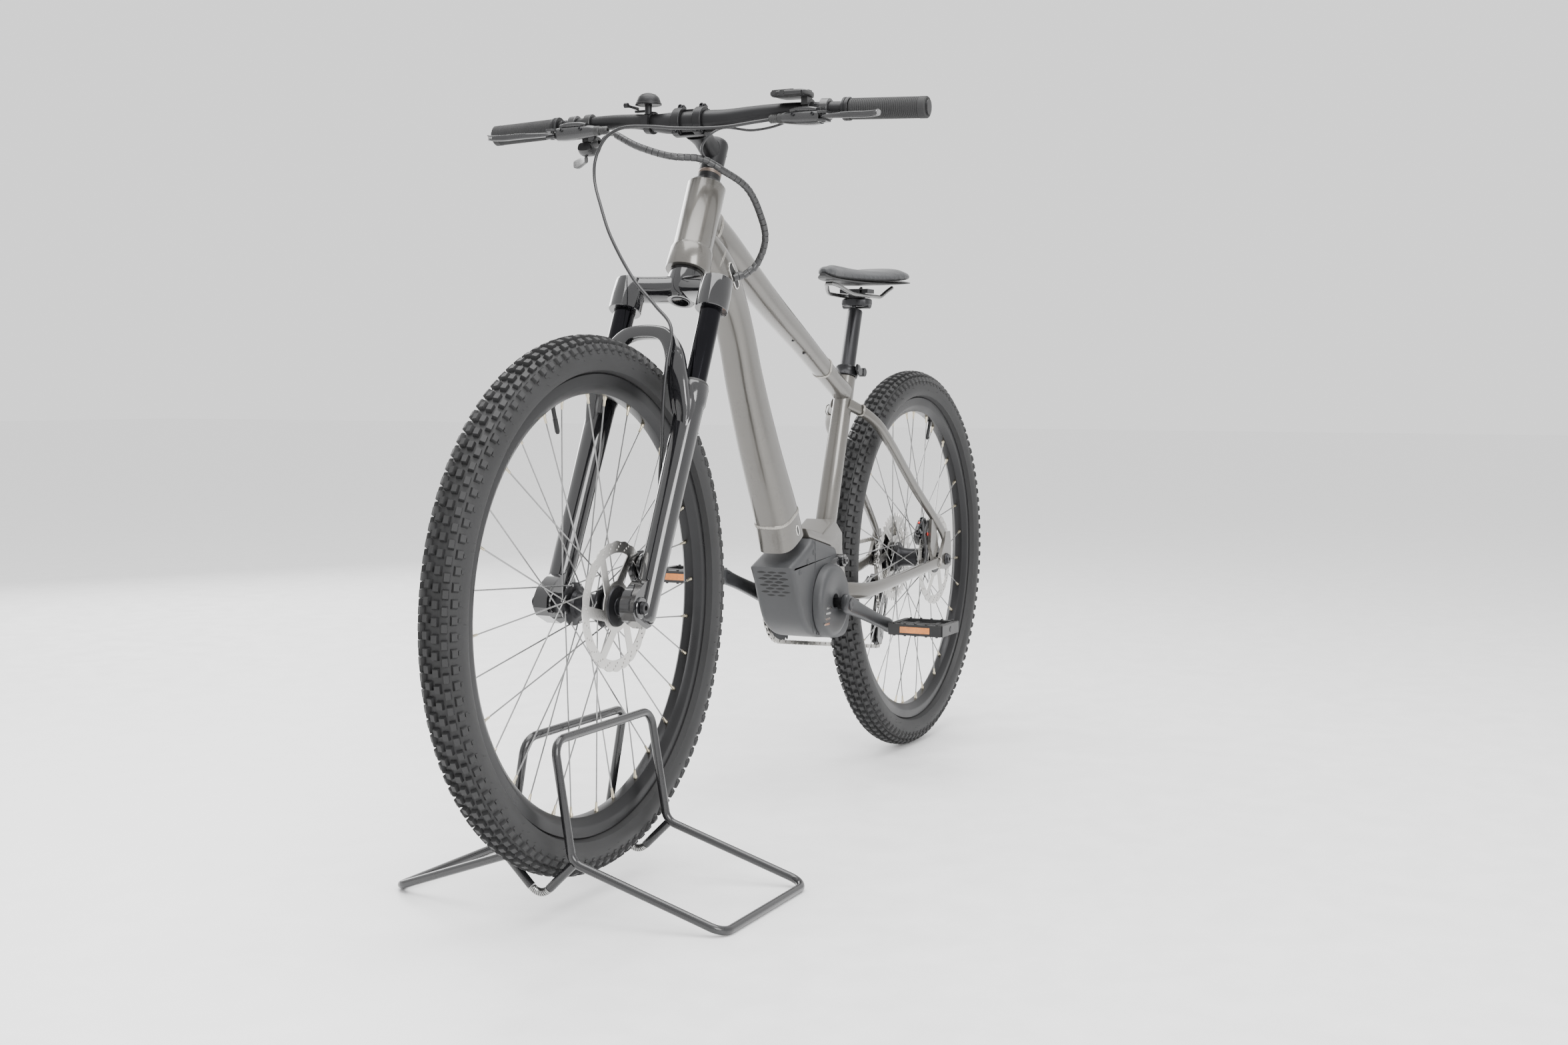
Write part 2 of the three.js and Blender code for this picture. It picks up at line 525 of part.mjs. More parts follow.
function frame() {
  const headAt = (z) => inBicycle(V(0, 0, z));
  const headTube = join(cylinder(headAt(0), headAt(34), 33.5, 32.5, 18),
    cylinder(headAt(34), headAt(40), 32.5, 30, 18), cylinder(headAt(40), headAt(HEAD.length), 30, 29.5, 18));
  const downTube = tube([station(292, 0, 922, 24, 26), station(240, 0, 880, 30, 34), station(196, 0, 838, 27, 29),
    station(163, 0, 786, 26, 27), station(129, 0, 707, 27, 29), station(76, 0, 602, 29, 33),
    station(12, 0, 492, 31, 38), station(-10, 0, 446, 31.5, 41)], 3.4, 16);
  const topTube = tube([station(275, 0, 956, 22, 26), station(210, 0, 925, 24, 25), station(120, 0, 880, 22, 22),
    station(36, 0, 838, 20, 21), station(-88, 0, 781, 18, 18), station(-171, 0, 741, 17, 17),
    station(-268, 0, 696, 17, 17)], 2.8, 12);
  const seatTube = cylinder(onSeat(-14), onSeat(SEAT_TUBE_TOP), 19, 17.2, 18);
  const bracket = plate([[-48, 466], [-58, 449.5], [-151, 429], [-173, 402], [-182, 356], [-216, 348], [-222, 366],
    [-205, 420], [-204, 450], [-170, 474], [-120, 452], [-76, 462]], -29, 29, [], 4);
  const chainStay = (s) => tube([station(-188, s * 14, 352, 10, 11), station(-206, s * 36, 346, 9, 15),
    station(-250, s * 51, 342, 8, 14), station(-320, s * 59, 345, 8, 11), station(-480, s * 64, 357, 8, 10),
    station(-585, s * 73, 366, 4, 10)], 3, 12);
  const seatStay = (s) => tube([station(-262, s * 12, 676, 8, 11), station(-296, s * 36, 656, 8, 9),
    station(-330, s * 50, 630, 8, 9), station(-480, s * 58, 518, 7.5, 8.5), station(-600, s * 70, 428, 5, 9),
    station(-622, s * 73, 400, 4, 12)], 3, 12);
  const stays = [1, -1].flatMap((s) => [
    chainStay(s),
    seatStay(s),
    plate([[-640, 356], [-590, 352], [-570, 364], [-590, 384], [-606, 424], [-632, 424], [-638, 400]],
      s > 0 ? 70.3 : -77, s > 0 ? 77 : -70.3),
  ]);
  const hanger = plate([[-634, 362], [-610, 356], [-618, 318], [-636, 314]], -77, -70.3);
  const caliperMount = plate([[-590, 392], [-566, 366], [-545, 400], [-552, 452], [-576, 444]], 61.6, 68);
  const bores = [
    cylinder(headAt(-20), headAt(HEAD.length + 20), 19, 19, 20),
    cylinder(onSeat(20), onSeat(SEAT_TUBE_TOP + 20), 14, 14, 18),
    cylinder(V(REAR_AXLE[0], -90, REAR_AXLE[1]), V(REAR_AXLE[0], 90, REAR_AXLE[1]), 6.5, 6.5, 16),
  ];
  const tubes = [headTube, downTube, topTube, seatTube, bracket, ...stays, hanger, caliperMount];
  return cut(join(...tubes), ...bores);
}

node(bicycle, 'frame', frame(), FINISH.frame);

const MOTOR = [[33, 406], [21, 382], [-3, 330], [-22, 303], [-60, 282], [-112, 273], [-190, 266], [-212, 284],
  [-214, 316], [-184, 324], [-176.5, 352], [-169.5, 400], [-150.3, 427.5], [-58, 448.7], [-52, 449.2]];
const motorShell = plate(MOTOR, -40, 40, [], 9);
const downTubeFoot = tube([station(12, 0, 492, 31.4, 38.4), station(-10.3, 0, 445.6, 31.9, 41.4)], 3.4, 16);
const axleLine = (radius, from = -95, to = 95) => cylinder(V(BOTTOM_BRACKET.x, from, BOTTOM_BRACKET.z),
  V(BOTTOM_BRACKET.x, to, BOTTOM_BRACKET.z), radius, radius, 20);
node(bicycle, 'motor_unit', cut(motorShell, downTubeFoot, axleLine(13)), FINISH.matte);
const motorDisc = cylinder(V(-110, 40 + GAP, 338), V(-110, 58, 338), 64, 58, 32);
node(bicycle, 'motor_cover', cut(motorDisc, axleLine(13)), FINISH.matte);

// ---------------------------------------------------------------- drivetrain
const pitchRadius = (teeth) => CHAIN.pitch / (2 * Math.sin(Math.PI / teeth));
const GUIDE = [-598, 301];
const TENSION = [-572, 216];
const sprockets = [
  { at: [BOTTOM_BRACKET.x, BOTTOM_BRACKET.z], r: pitchRadius(TEETH.ring), turn: 1 },
  { at: REAR_AXLE, r: pitchRadius(TEETH.cog), turn: 1 },
  { at: GUIDE, r: pitchRadius(TEETH.jockey), turn: -1 },
  { at: TENSION, r: pitchRadius(TEETH.jockey), turn: 1 },
];

// The closed line of the chain, offset outwards from its pitch line: arcs around the wheels, joined by
// the straight runs between them. A wheel's turn is 1 where the chain passes it anticlockwise.
function chainLine(offset) {
  const next = (i, step) => (i + step + sprockets.length) % sprockets.length;
  const heading = sprockets.map((a, i) => {
    const b = sprockets[next(i, 1)];
    const [dx, dz] = [b.at[0] - a.at[0], b.at[1] - a.at[1]];
    return Math.atan2(dz, dx) + Math.asin((a.turn * a.r - b.turn * b.r) / Math.hypot(dx, dz));
  });
  return sprockets.flatMap(({ at, r, turn }, i) => {
    const start = heading[next(i, -1)];
    const sweep = turn * THREE.MathUtils.euclideanModulo(turn * (heading[i] - start), 2 * Math.PI);
    const steps = Math.max(8, Math.round((Math.abs(sweep) * r) / CHAIN.pitch));
    return Array.from({ length: steps + 1 }, (_, k) => {
      const angle = start + (sweep * k) / steps - (turn * Math.PI) / 2;
      const reach = r + turn * offset;
      return [at[0] + reach * Math.cos(angle), at[1] + reach * Math.sin(angle)];
    });
  });
}

const [chainLow, chainHigh] = [CHAIN.line - CHAIN.width / 2, CHAIN.line + CHAIN.width / 2];
const inside = new THREE.Path(chainLine(-CHAIN.half).map(([x, z]) => new THREE.Vector2(x, z)));
node(bicycle, 'chain', plate(chainLine(CHAIN.half), chainLow, chainHigh, [inside]), FINISH.steel);

const crankSet = groupAt(BOTTOM_BRACKET.x, 0, BOTTOM_BRACKET.z);
const ringRoot = pitchRadius(TEETH.ring) - CHAIN.half - CHAIN_GAP;
node(crankSet, 'chainring', spoked(ringRoot, 11, 4, 26, 56, CHAIN.line - 2, CHAIN.line + 2), FINISH.satin);
const axleEnd = V(0, CRANK.side + 9, 0);
node(crankSet, 'crank_axle', cylinder(mirror(axleEnd), axleEnd, 10.6, 10.6, 16), FINISH.steel);

// The pedal's place: the left crank points back and down, the right one forward and up.
const crankAngle = radians(CRANK.rearDown);
const pedalAt = (side) => V(-side * CRANK.length * Math.cos(crankAngle), side * 84,
  -side * CRANK.length * Math.sin(crankAngle));

function crank(side) {
  const end = pedalAt(side);
  const along = end.clone().setY(0).normalize();
  const spine = [[-16, 72, 15], [14, 72, 16], [50, 74, 13], [120, 80, 11.5], [160, 83, 13], [182, 84, 11]];
  const onArm = (out, y) => along.clone().multiplyScalar(out).setY(side * y);
  const arm = tube(spine.map(([out, y, deep]) => ({ at: onArm(out, y), wide: 7.5, deep })), 3.2, 12);
  return cut(arm, cylinder(V(0, -100, 0), V(0, 100, 0), 10.9, 10.9, 16),
    cylinder(V(end.x, -100, end.z), V(end.x, 100, end.z), 7.3, 7.3, 12));
}

// Platform pedal: a caged body on its spindle, with a bar across each end.
function pedal(side) {
  const middle = side * PEDAL.middle;
  const body = block(0, middle, 0, PEDAL.length, PEDAL.width, PEDAL.height);
  const openings = [1, -1].map((end) => block(end * PEDAL.slotFromMiddle, middle, 0, PEDAL.slot, 80, 60));
  const spindle = cylinder(V(0, side * 77, 0), V(0, side * 102, 0), 7, 7, 12);
  return join(cut(body, ...openings), spindle);
}

for (const [side, name] of [[1, 'left'], [-1, 'right']]) {
  node(crankSet, `${name}_crank`, crank(side), FINISH.matte);
  const place = pedalAt(side);
  const pedalGroup = groupAt(BOTTOM_BRACKET.x + place.x, 0, BOTTOM_BRACKET.z + place.z);
  node(pedalGroup, `${name}_pedal`, pedal(side), FINISH.satin);
}

// Nine stepped sprockets; the one the chain is on is cut down to the chain's inner edge.
const cogTeeth = [42, 36, 32, 28, 24, TEETH.cog, 17, 15, 13];
const cogPitch = 4.1;
const cogProfile = cogTeeth.flatMap((teeth, i) => {
  const y = CHAIN.line + (5 - i) * cogPitch;
  const onChain = teeth === TEETH.cog;
  const r = pitchRadius(teeth) + (onChain ? -CHAIN.half - CHAIN_GAP : 0.5);
  const half = onChain ? 3.3 : 0.8;
  return [[r, y + half], [r, y - half]];
});
const cogTop = cogProfile[0][1];
const cogFoot = cogProfile.at(-1)[1];
node(rearWheel, 'cassette', turned([[17, cogTop], ...cogProfile, [17, cogFoot]], 24), FINISH.steel);

const jockeyBore = 3.6;
function jockey([x, z]) {
  const r = pitchRadius(TEETH.jockey) - CHAIN.half - CHAIN_GAP;
  return turned([[jockeyBore, CHAIN.line - 3.5], [r, CHAIN.line - 3.5], [r, CHAIN.line + 3.5],
    [jockeyBore, CHAIN.line + 3.5]], 14).translate(x, 0, z);
}
node(bicycle, 'guide_jockey', jockey(GUIDE), FINISH.matte);
node(bicycle, 'tension_jockey', jockey(TENSION), FINISH.matte);

function derailleur() {
  const near = ([x, z], across, up) => [x + across, z + up];
  const outline = [near(GUIDE, -16, 8), near(GUIDE, 14, 12), near(TENSION, 15, -4), near(TENSION, 4, -15),
    near(TENSION, -12, -6)];
  const pins = [GUIDE, TENSION].map(([x, z]) => cylinder(V(x, -60, z), V(x, -46, z), 3.2, 3.2, 10));
  const knuckle = tube([station(-626, -86, 318, 8, 11), station(-604, -88, 296, 12, 14),
    station(-590, -76, 302, 12, 13), station(-596, -66, 302, 9, 12)], 2.6, 12);
  return join(plate(outline, -61, -58.5), plate(outline, -47.5, -45), ...pins, knuckle,
    cylinder(V(-598, -70, 301), V(-598, -58.5, 301), 11, 11, 16),
    cylinder(V(-628, -92, 323), V(-628, -77.4, 323), 9, 9, 16));
}
node(bicycle, 'rear_derailleur', derailleur(), FINISH.gloss);

const onRearAxle = (y) => V(REAR_AXLE[0], y, REAR_AXLE[1]);
node(bicycle, 'rear_axle', join(cylinder(onRearAxle(-79), onRearAxle(84), 6, 6, 16),
  cylinder(onRearAxle(77.4), onRearAxle(84), 12, 10, 16)), FINISH.satin);

// Brake calipers: a body over the rotor's edge with a slot for it, at a distance and angle from the axle.
function caliper([axleX, axleZ], y, distance, angle, fitting) {
  const body = plate([[-24, -15], [20, -15], [26, -8], [26, 12], [18, 17], [-18, 17], [-26, 8]], -14, 9, [], 2);
  const bolts = [16, -16].map((x) => cylinder(V(x, -4, 10), V(x, -4, 22), 4, 4, 10));
  const banjo = cylinder(V(fitting, 1, 4), V(fitting, 1, 26), 4.5, 4.5, 10);
  const whole = join(body, ...bolts, banjo).rotateY(Math.PI / 2 - angle)
    .translate(axleX + distance * Math.cos(angle), y, axleZ + distance * Math.sin(angle));
  const slotRadius = ROTOR_RADIUS + 1.8;
  return cut(whole, cylinder(V(axleX, y - 1.8, axleZ), V(axleX, y + 1.8, axleZ), slotRadius, slotRadius, 48));
}
node(bicycle, 'front_caliper', caliper(FRONT_AXLE, 42, 82, radians(149), 0), FINISH.gloss);
node(bicycle, 'rear_caliper', caliper(REAR_AXLE, 52, 80, radians(44), 0), FINISH.gloss);

// ---------------------------------------------------------------- seat
const postRadius = 13.6;
node(bicycle, 'seatpost', cylinder(onSeat(150), onSeat(428), postRadius, postRadius, 18), FINISH.satin);

// The collar sits on the seat tube's lip, its cross bolt behind it.
const collarFoot = SEAT_TUBE_TOP + GAP;
const boltAt = (y, height = 9, back = 25) => onSeat(collarFoot + height).add(V(-back, y, 0));
const collar = join(cylinder(onSeat(collarFoot), onSeat(collarFoot + 18), 20, 20, 18),
  block(boltAt(0).x + 4, 0, boltAt(0).z, 17, 20, 15), cylinder(boltAt(-19), boltAt(14), 4, 4, 12),
  cylinder(boltAt(-19), boltAt(-12), 7, 7, 12));
const collarBore = cylinder(onSeat(280), onSeat(340), postRadius + 0.4, postRadius + 0.4, 18);
node(bicycle, 'seat_clamp', cut(collar, collarBore), FINISH.satin);
const clampBlade = tube([{ at: boltAt(20), wide: 4, deep: 6 }, { at: boltAt(24, 12, 5), wide: 4, deep: 7 },
  { at: boltAt(28, 18, -22), wide: 3, deep: 6 }], 3, 8);
node(bicycle, 'seat_clamp_lever', join(cylinder(boltAt(14 + GAP), boltAt(26), 8, 8, 14), clampBlade), FINISH.satin);

const RAIL = { radius: 3.5, side: 22, z: 872 };
node(bicycle, 'saddle_clamp', join(block(-331, 0, 860, 40, 54, 16), block(-331, 0, 874, 30, 24, 22),
  block(-331, 0, 880, 34, 54, 7.6), cylinder(V(-331, -26, 857), V(-331, 26, 857), 9, 9, 12)), FINISH.satin);
const railHalf = [V(-426, 31, 891), V(-410, 28, 884), V(-390, 23, 873), V(-378, RAIL.side, RAIL.z),
  V(-264, RAIL.side, RAIL.z), V(-246, 20, 875), V(-222, 12, 884), V(-206, 6, 887.5)];
node(bicycle, 'saddle_rails', rod([...railHalf, ...railHalf.map(mirror).reverse()], RAIL.radius, 8), FINISH.steel);

// Saddle sections: x, half width, top, and the pad's lower edge.
const SADDLE = [[-176, 9, 915, 905], [-184, 16, 918.5, 901], [-205, 20.5, 920, 898.5], [-240, 23, 919.5, 897.5],
  [-285, 31, 918, 897], [-330, 45, 917.5, 897], [-370, 61, 920, 898], [-405, 71, 925, 900.5],
  [-428, 70, 926, 902.5], [-442, 60, 922, 905], [-449, 42, 916, 907]];

function saddleSkin(width, top, foot) {
  return skin(SADDLE.map(([x, half, high, low]) => Array.from({ length: 16 }, (_, k) => {
    const angle = (2 * Math.PI * (k + 0.5)) / 16;
    const [c, s] = [Math.cos(angle), Math.sin(angle)];
    const [ceiling, floor] = [top(high, low), foot(high, low)];
    const edge = floor + (ceiling - floor) * 0.35;
    const rise = s > 0 ? (ceiling - edge) * s ** 0.9 : (edge - floor) * -((-s) ** 0.5);
    return V(x, (half - width) * Math.sign(c) * Math.abs(c) ** 0.75, edge + rise);
  })));
}
node(bicycle, 'saddle_pad', saddleSkin(0, (high) => high, (high, low) => low), FINISH.vinyl);
node(bicycle, 'saddle_shell', saddleSkin(3, (high, low) => low - GAP, (high, low) => low - 5.5), FINISH.matte);

export default bicycle;
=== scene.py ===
"""A hardtail electric mountain bicycle in its wire display stand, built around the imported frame.

Metres; +X is the way the bicycle rides, +Y its left and +Z up. The sections follow the bicycle as it is
put together: stand, wheels, fork, bar and controls, hoses, frame, motor, drivetrain, brakes and seat.
"""
import math
import random

import bmesh
import bpy
from mathutils import Matrix, Vector
from mathutils.geometry import tessellate_polygon


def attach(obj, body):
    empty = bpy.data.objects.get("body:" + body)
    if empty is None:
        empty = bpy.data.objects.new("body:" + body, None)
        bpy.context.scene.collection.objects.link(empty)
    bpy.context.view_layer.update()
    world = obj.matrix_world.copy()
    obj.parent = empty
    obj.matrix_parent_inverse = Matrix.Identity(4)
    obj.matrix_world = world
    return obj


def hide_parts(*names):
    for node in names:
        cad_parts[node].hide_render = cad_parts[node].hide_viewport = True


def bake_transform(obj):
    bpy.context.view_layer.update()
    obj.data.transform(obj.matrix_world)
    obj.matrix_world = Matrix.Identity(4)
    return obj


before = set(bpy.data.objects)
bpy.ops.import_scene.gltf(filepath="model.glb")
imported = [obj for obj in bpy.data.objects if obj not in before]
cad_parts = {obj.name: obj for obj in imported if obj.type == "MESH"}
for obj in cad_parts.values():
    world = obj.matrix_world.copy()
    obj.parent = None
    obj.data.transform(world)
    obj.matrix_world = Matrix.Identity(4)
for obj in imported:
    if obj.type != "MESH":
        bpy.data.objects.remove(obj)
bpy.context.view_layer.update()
scene = bpy.context.scene

# ---------------------------------------------------------------- camera, floor and light
# The bicycle is looked at from its left front, at the height of its top tube, through a normal lens.
CAMERA_AT = Vector((2.7315, 1.281, 0.699))
LOOK_ALONG = Vector((-0.904, -0.421, -0.0728))
CAMERA_ROLL = math.radians(0.18)
camera_data = bpy.data.cameras.new("camera")
camera_data.lens = 41.46
camera_data.sensor_width = 36
camera = bpy.data.objects.new("camera", camera_data)
camera.location = CAMERA_AT
camera.rotation_mode = "QUATERNION"
camera.rotation_quaternion = LOOK_ALONG.to_track_quat("-Z",
                                                      "Y") @ Matrix.Rotation(CAMERA_ROLL, 3, "Z").to_quaternion()
scene.collection.objects.link(camera)
scene.camera = camera


def node(tree, kind, inputs=None, **settings):
    """A new node in the tree, with its settings made and its inputs set or joined to other sockets."""
    made = tree.nodes.new(kind)
    for setting, value in settings.items():
        setattr(made, setting, value)
    for socket, value in (inputs or {}).items():
        if isinstance(value, bpy.types.NodeSocket):
            tree.links.new(value, made.inputs[socket])
        else:
            made.inputs[socket].default_value = value
    return made


def surface(name, colour, roughness, grain=900.0, spread=0.12, gloss_spread=0.06, bump=0.00003, **sockets):
    """A material whose colour, gloss and height vary with a fine grain and a broad, faint mottle."""
    material = bpy.data.materials.new(name)
    material.use_nodes = True
    tree = material.node_tree
    shader = tree.nodes["Principled BSDF"]
    for socket, value in sockets.items():
        shader.inputs[socket.replace("_", " ")].default_value = value
    place = node(tree, "ShaderNodeTexCoord").outputs["Object"]
    fine = node(tree, "ShaderNodeTexNoise", {"Vector": place, "Scale": grain, "Detail": 3.0}).outputs["Fac"]
    broad = node(tree, "ShaderNodeTexNoise", {"Vector": place, "Scale": 14.0, "Detail": 5.0}).outputs["Fac"]
    both = node(tree, "ShaderNodeMath", {0: fine, 1: broad}, operation="MULTIPLY_ADD")
    tree.links.new(broad, both.inputs[2])
    ramp = node(tree, "ShaderNodeValToRGB", {"Fac": both.outputs[0]})
    for stop, place_on_ramp, share in zip(ramp.color_ramp.elements, (0.5, 1.0), (1 - spread, 1 + spread)):
        stop.position = place_on_ramp
        stop.color = [min(1.0, c * share) for c in colour] + [1.0]
    tree.links.new(ramp.outputs["Color"], shader.inputs["Base Color"])
    gloss = node(tree, "ShaderNodeMapRange", {
        "Value": both.outputs[0], "From Min": 0.5, "From Max": 1.0,
        "To Min": max(0.02, roughness - gloss_spread), "To Max": roughness + gloss_spread,
    })
    tree.links.new(gloss.outputs["Result"], shader.inputs["Roughness"])
    height = node(tree, "ShaderNodeBump", {"Height": fine, "Distance": bump, "Strength": 0.6})
    tree.links.new(height.outputs["Normal"], shader.inputs["Normal"])
    return material


floor_mesh = bpy.data.meshes.new("floor")
FLOOR_REACH = 30
floor_mesh.from_pydata([(x * FLOOR_REACH, y * FLOOR_REACH, 0) for x,
                        y in ((-1, -1), (1, -1), (1, 1), (-1, 1))], [],
                       [(0, 1, 2, 3)])
floor_mesh.materials.append(surface("pale_floor", (0.93, 0.93, 0.93), 0.45, grain=40, spread=0.02))
floor = bpy.data.objects.new("floor", floor_mesh)
scene.collection.objects.link(floor)

world = bpy.data.worlds.new("studio")
world.use_nodes = True
world.node_tree.nodes["Background"].inputs["Color"].default_value = (1, 1, 1, 1)
world.node_tree.nodes["Background"].inputs["Strength"].default_value = 1.35
scene.world = world


def softbox(name, at, size, watts):
    """A square soft light that faces the middle of the bicycle."""
    data = bpy.data.lights.new(name, "AREA")
    data.energy = watts
    data.size = size
    lamp = bpy.data.objects.new(name, data)
    lamp.location = at
    lamp.rotation_euler = (Vector((0, 0, 0.6)) - Vector(at)).to_track_quat("-Z", "Y").to_euler()
    scene.collection.objects.link(lamp)


softbox("light_over", (0.3, 0.2, 3.6), 3.2, 190)
softbox("light_front_left", (2.6, 3.2, 2.2), 2.0, 130)
softbox("light_behind_right", (-1.8, -3.2, 2.0), 2.2, 100)

# ---------------------------------------------------------------- display stand
# Two closed loops of steel rod, bent cold and coated black. Each stands as a hoop beside the tyre and lies
# as a bar on the floor. Two close-coiled springs join them under the wheel and let it settle in between.
MM = 0.001
AXLE = {"front": Vector((0.6105, 0, 0.405)), "rear": Vector((-0.6105, 0, 0.37))}
ROD = 6 * MM
HOOP = {"reach": 0.129, "top": 0.240, "side": 0.022, "knee": 0.082, "knee_side": 0.049, "foot": 0.256,
        "splay": 0.030}
BEND = 0.022
stand_black = surface("stand_coating", (0.012, 0.012, 0.013), 0.28, grain=500, bump=0.00006, Coat_Weight=0.4)
spring_wire = surface("spring_wire", (0.42, 0.42, 0.41), 0.28, grain=1500, Metallic=1.0)


def smooth_through(points, fine):
    """Points on a smooth curve through the given ones. Sizes after a point's x, y and z are carried along."""
    rows = [[float(value) for value in point] for point in points]
    reach = [0.0]
    for a, b in zip(rows, rows[1:]):
        reach.append(reach[-1] + max(math.dist(a[:3], b[:3]), 1e-6))

    def slope(i):
        low, high = max(i - 1, 0), min(i + 1, len(rows) - 1)
        return [(q - p) / (reach[high] - reach[low]) for p, q in zip(rows[low], rows[high])]

    curve = []
    for i, (a, b) in enumerate(zip(rows, rows[1:])):
        span = reach[i + 1] - reach[i]
        for step in range(fine):
            t = step / fine
            near, leave = 2 * t**3 - 3 * t**2 + 1, (t**3 - 2 * t**2 + t) * span
            arrive = (t**3 - t**2) * span
            curve.append([near * p + (1 - near) * q + leave * m + arrive * n
                          for p, q, m, n in zip(a, b, slope(i), slope(i + 1))])
    return curve + [rows[-1]]


def skin(rings, closed=False, caps=True):
    """Vertices and faces over a row of rings; closed joins the last ring to the first."""
    around = len(rings[0])
    rows = len(rings)
    faces = []
    for r in range(rows if closed else rows - 1):
        here, there = r * around, (r + 1) % rows * around
        faces += [(here + k, here + (k + 1) % around, there + (k + 1) % around, there + k)
                  for k in range(around)]
    if caps and not closed:
        faces += [tuple(range(around)), tuple(range((rows - 1) * around, rows * around))]
    return [Vector(p) for ring in rings for p in ring], faces


def rod(points, radius, sides=16, closed=False):
    """A round rod along a row of points, turning without twist."""
    points = [Vector(p[:3]) for p in points]
    rings = []
    side = None
    for i, at in enumerate(points):
        ahead = points[(i + 1) % len(points)] if closed or i + 1 < len(points) else at
        behind = points[i - 1] if closed or i else at
        along = (ahead - behind).normalized()
        side = side or along.orthogonal()
        side = (side - along * side.dot(along)).normalized()
        up = along.cross(side)
        width = radius(i / (len(points) - 1)) if callable(radius) else radius
        turns = [2 * math.pi * k / sides for k in range(sides)]
        rings.append([at + side * width * math.cos(a) + up * width * math.sin(a) for a in turns])
    return skin(rings, closed)


def merged(*shapes):
    """Several shapes as one."""
    points, faces = [], []
    for some_points, some_faces in shapes:
        faces += [tuple(index + len(points) for index in face) for face in some_faces]
        points += some_points
    return points, faces


def moved(shape, matrix):
    return [matrix @ p for p in shape[0]], shape[1]


def mesh_of(shape):
    """A clean mesh with welded vertices and its faces outwards."""
    mesh = bpy.data.meshes.new("shape")
    mesh.from_pydata([tuple(p) for p in shape[0]], [], shape[1])
    tidy = bmesh.new()
    tidy.from_mesh(mesh)
    bmesh.ops.remove_doubles(tidy, verts=tidy.verts, dist=1e-6)
    bmesh.ops.recalc_face_normals(tidy, faces=tidy.faces)
    tidy.to_mesh(mesh)
    tidy.free()
    return mesh


def piece(name, shape, body, material, stands_for=(), bevel=0.0, crease=38):
    """A finished piece: smooth but for its creases, or with its edges rounded, riding on its body."""
    mesh = shape if isinstance(shape, bpy.types.Mesh) else mesh_of(shape)
    mesh.name = name
    if not mesh.materials:
        mesh.materials.append(material)
    mesh.shade_smooth()
    made = bpy.data.objects.new(name, mesh)
    scene.collection.objects.link(made)
    if bevel:
        rounding = made.modifiers.new("rounded_edges", "BEVEL")
        rounding.width = bevel
        rounding.segments = 2
        rounding.limit_method = "ANGLE"
        rounding.angle_limit = math.radians(crease)
        rounding.harden_normals = True
    else:
        mesh.set_sharp_from_angle(angle=math.radians(crease))
    if body:
        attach(made, body)
    if stands_for:
        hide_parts(*([stands_for] if isinstance(stands_for, str) else stands_for))
    return made


def bent(corners, radius, steps=6):
    """A closed row of points through the corners, each one rounded by an arc."""
    points = []
    for i, corner in enumerate(corners):
        before = (corners[i - 1] - corner).normalized()
        after = (corners[(i + 1) % len(corners)] - corner).normalized()
        half = before.angle(after) / 2
        if half > math.radians(89):
            points.append(corner)
            continue
        middle = corner + (before + after).normalized() * (radius / math.sin(half))
        start = corner + before * (radius / math.tan(half)) - middle
        end = corner + after * (radius / math.tan(half)) - middle
        turn = start.angle(end)
        for step in range(steps + 1):
            t = step / steps
            points.append(middle + (start * math.sin((1 - t) * turn) + end * math.sin(t * turn))
                          / math.sin(turn))
    return points


def stand_loop(side):
    x, h = AXLE["front"].x, HOOP
    corners = [(h["reach"], h["side"], h["top"]), (h["reach"], h["knee_side"], h["knee"]),
               (h["reach"] - h["splay"], h["foot"], ROD), (-h["reach"] - h["splay"], h["foot"], ROD),
               (-h["reach"], h["knee_side"], h["knee"]), (-h["reach"], h["side"], h["top"])]
    shapes = [rod(bent([Vector((x + a, side * b, c)) for a, b, c in corners], BEND, 8), ROD, 20, closed=True)]
    for end in (1, -1):
        knee = Vector((x + end * h["reach"], side * (h["knee_side"] + 0.003), h["knee"] - 0.002))
        shapes.append(rod([knee, Vector((x + end * h["reach"], side * 0.014, 0.043))], ROD, 20))
    return merged(*shapes)


def coil(path, radius, wire, pitch, sides=6, per_turn=12):
    """A wire wound round a path."""
    length = sum(math.dist(a, b) for a, b in zip(path, path[1:]))
    turns = length / pitch
    dense = smooth_through(path, max(1, math.ceil(turns * per_turn / (len(path) - 1))))
    points = []
    side = None
    for i, at in enumerate(dense):
        along = (Vector(dense[min(i + 1, len(dense) - 1)]) - Vector(dense[max(i - 1, 0)])).normalized()
        side = side or along.orthogonal()
        side = (side - along * side.dot(along)).normalized()
        angle = 2 * math.pi * turns * i / (len(dense) - 1)
        points.append(Vector(at) + (side * math.cos(angle) + along.cross(side) * math.sin(angle)) * radius)
    return rod(points, wire, sides)


STAND_BODY = "stand_and_fork_lowers"
for side, hand in ((1, "left"), (-1, "right")):
    piece(f"{hand}_stand_rod", stand_loop(side), STAND_BODY, stand_black, f"stand_{hand}_loop")
for end, place in ((1, "front"), (-1, "rear")):
    spring_x = AXLE["front"].x + end * HOOP["reach"]
    half_sag = [(spring_x, y, z) for y,
                z in ((0, 0.0363), (0.005, 0.0372), (0.010, 0.0397), (0.0133, 0.0423))]
    sag = [(x, -y, z) for x, y, z in half_sag[:0:-1]] + half_sag
    piece(f"{place}_stand_coil", coil(sag, 4.5 * MM, 1.2 * MM, 2.5 * MM), STAND_BODY, spring_wire,
          f"stand_{place}_spring")

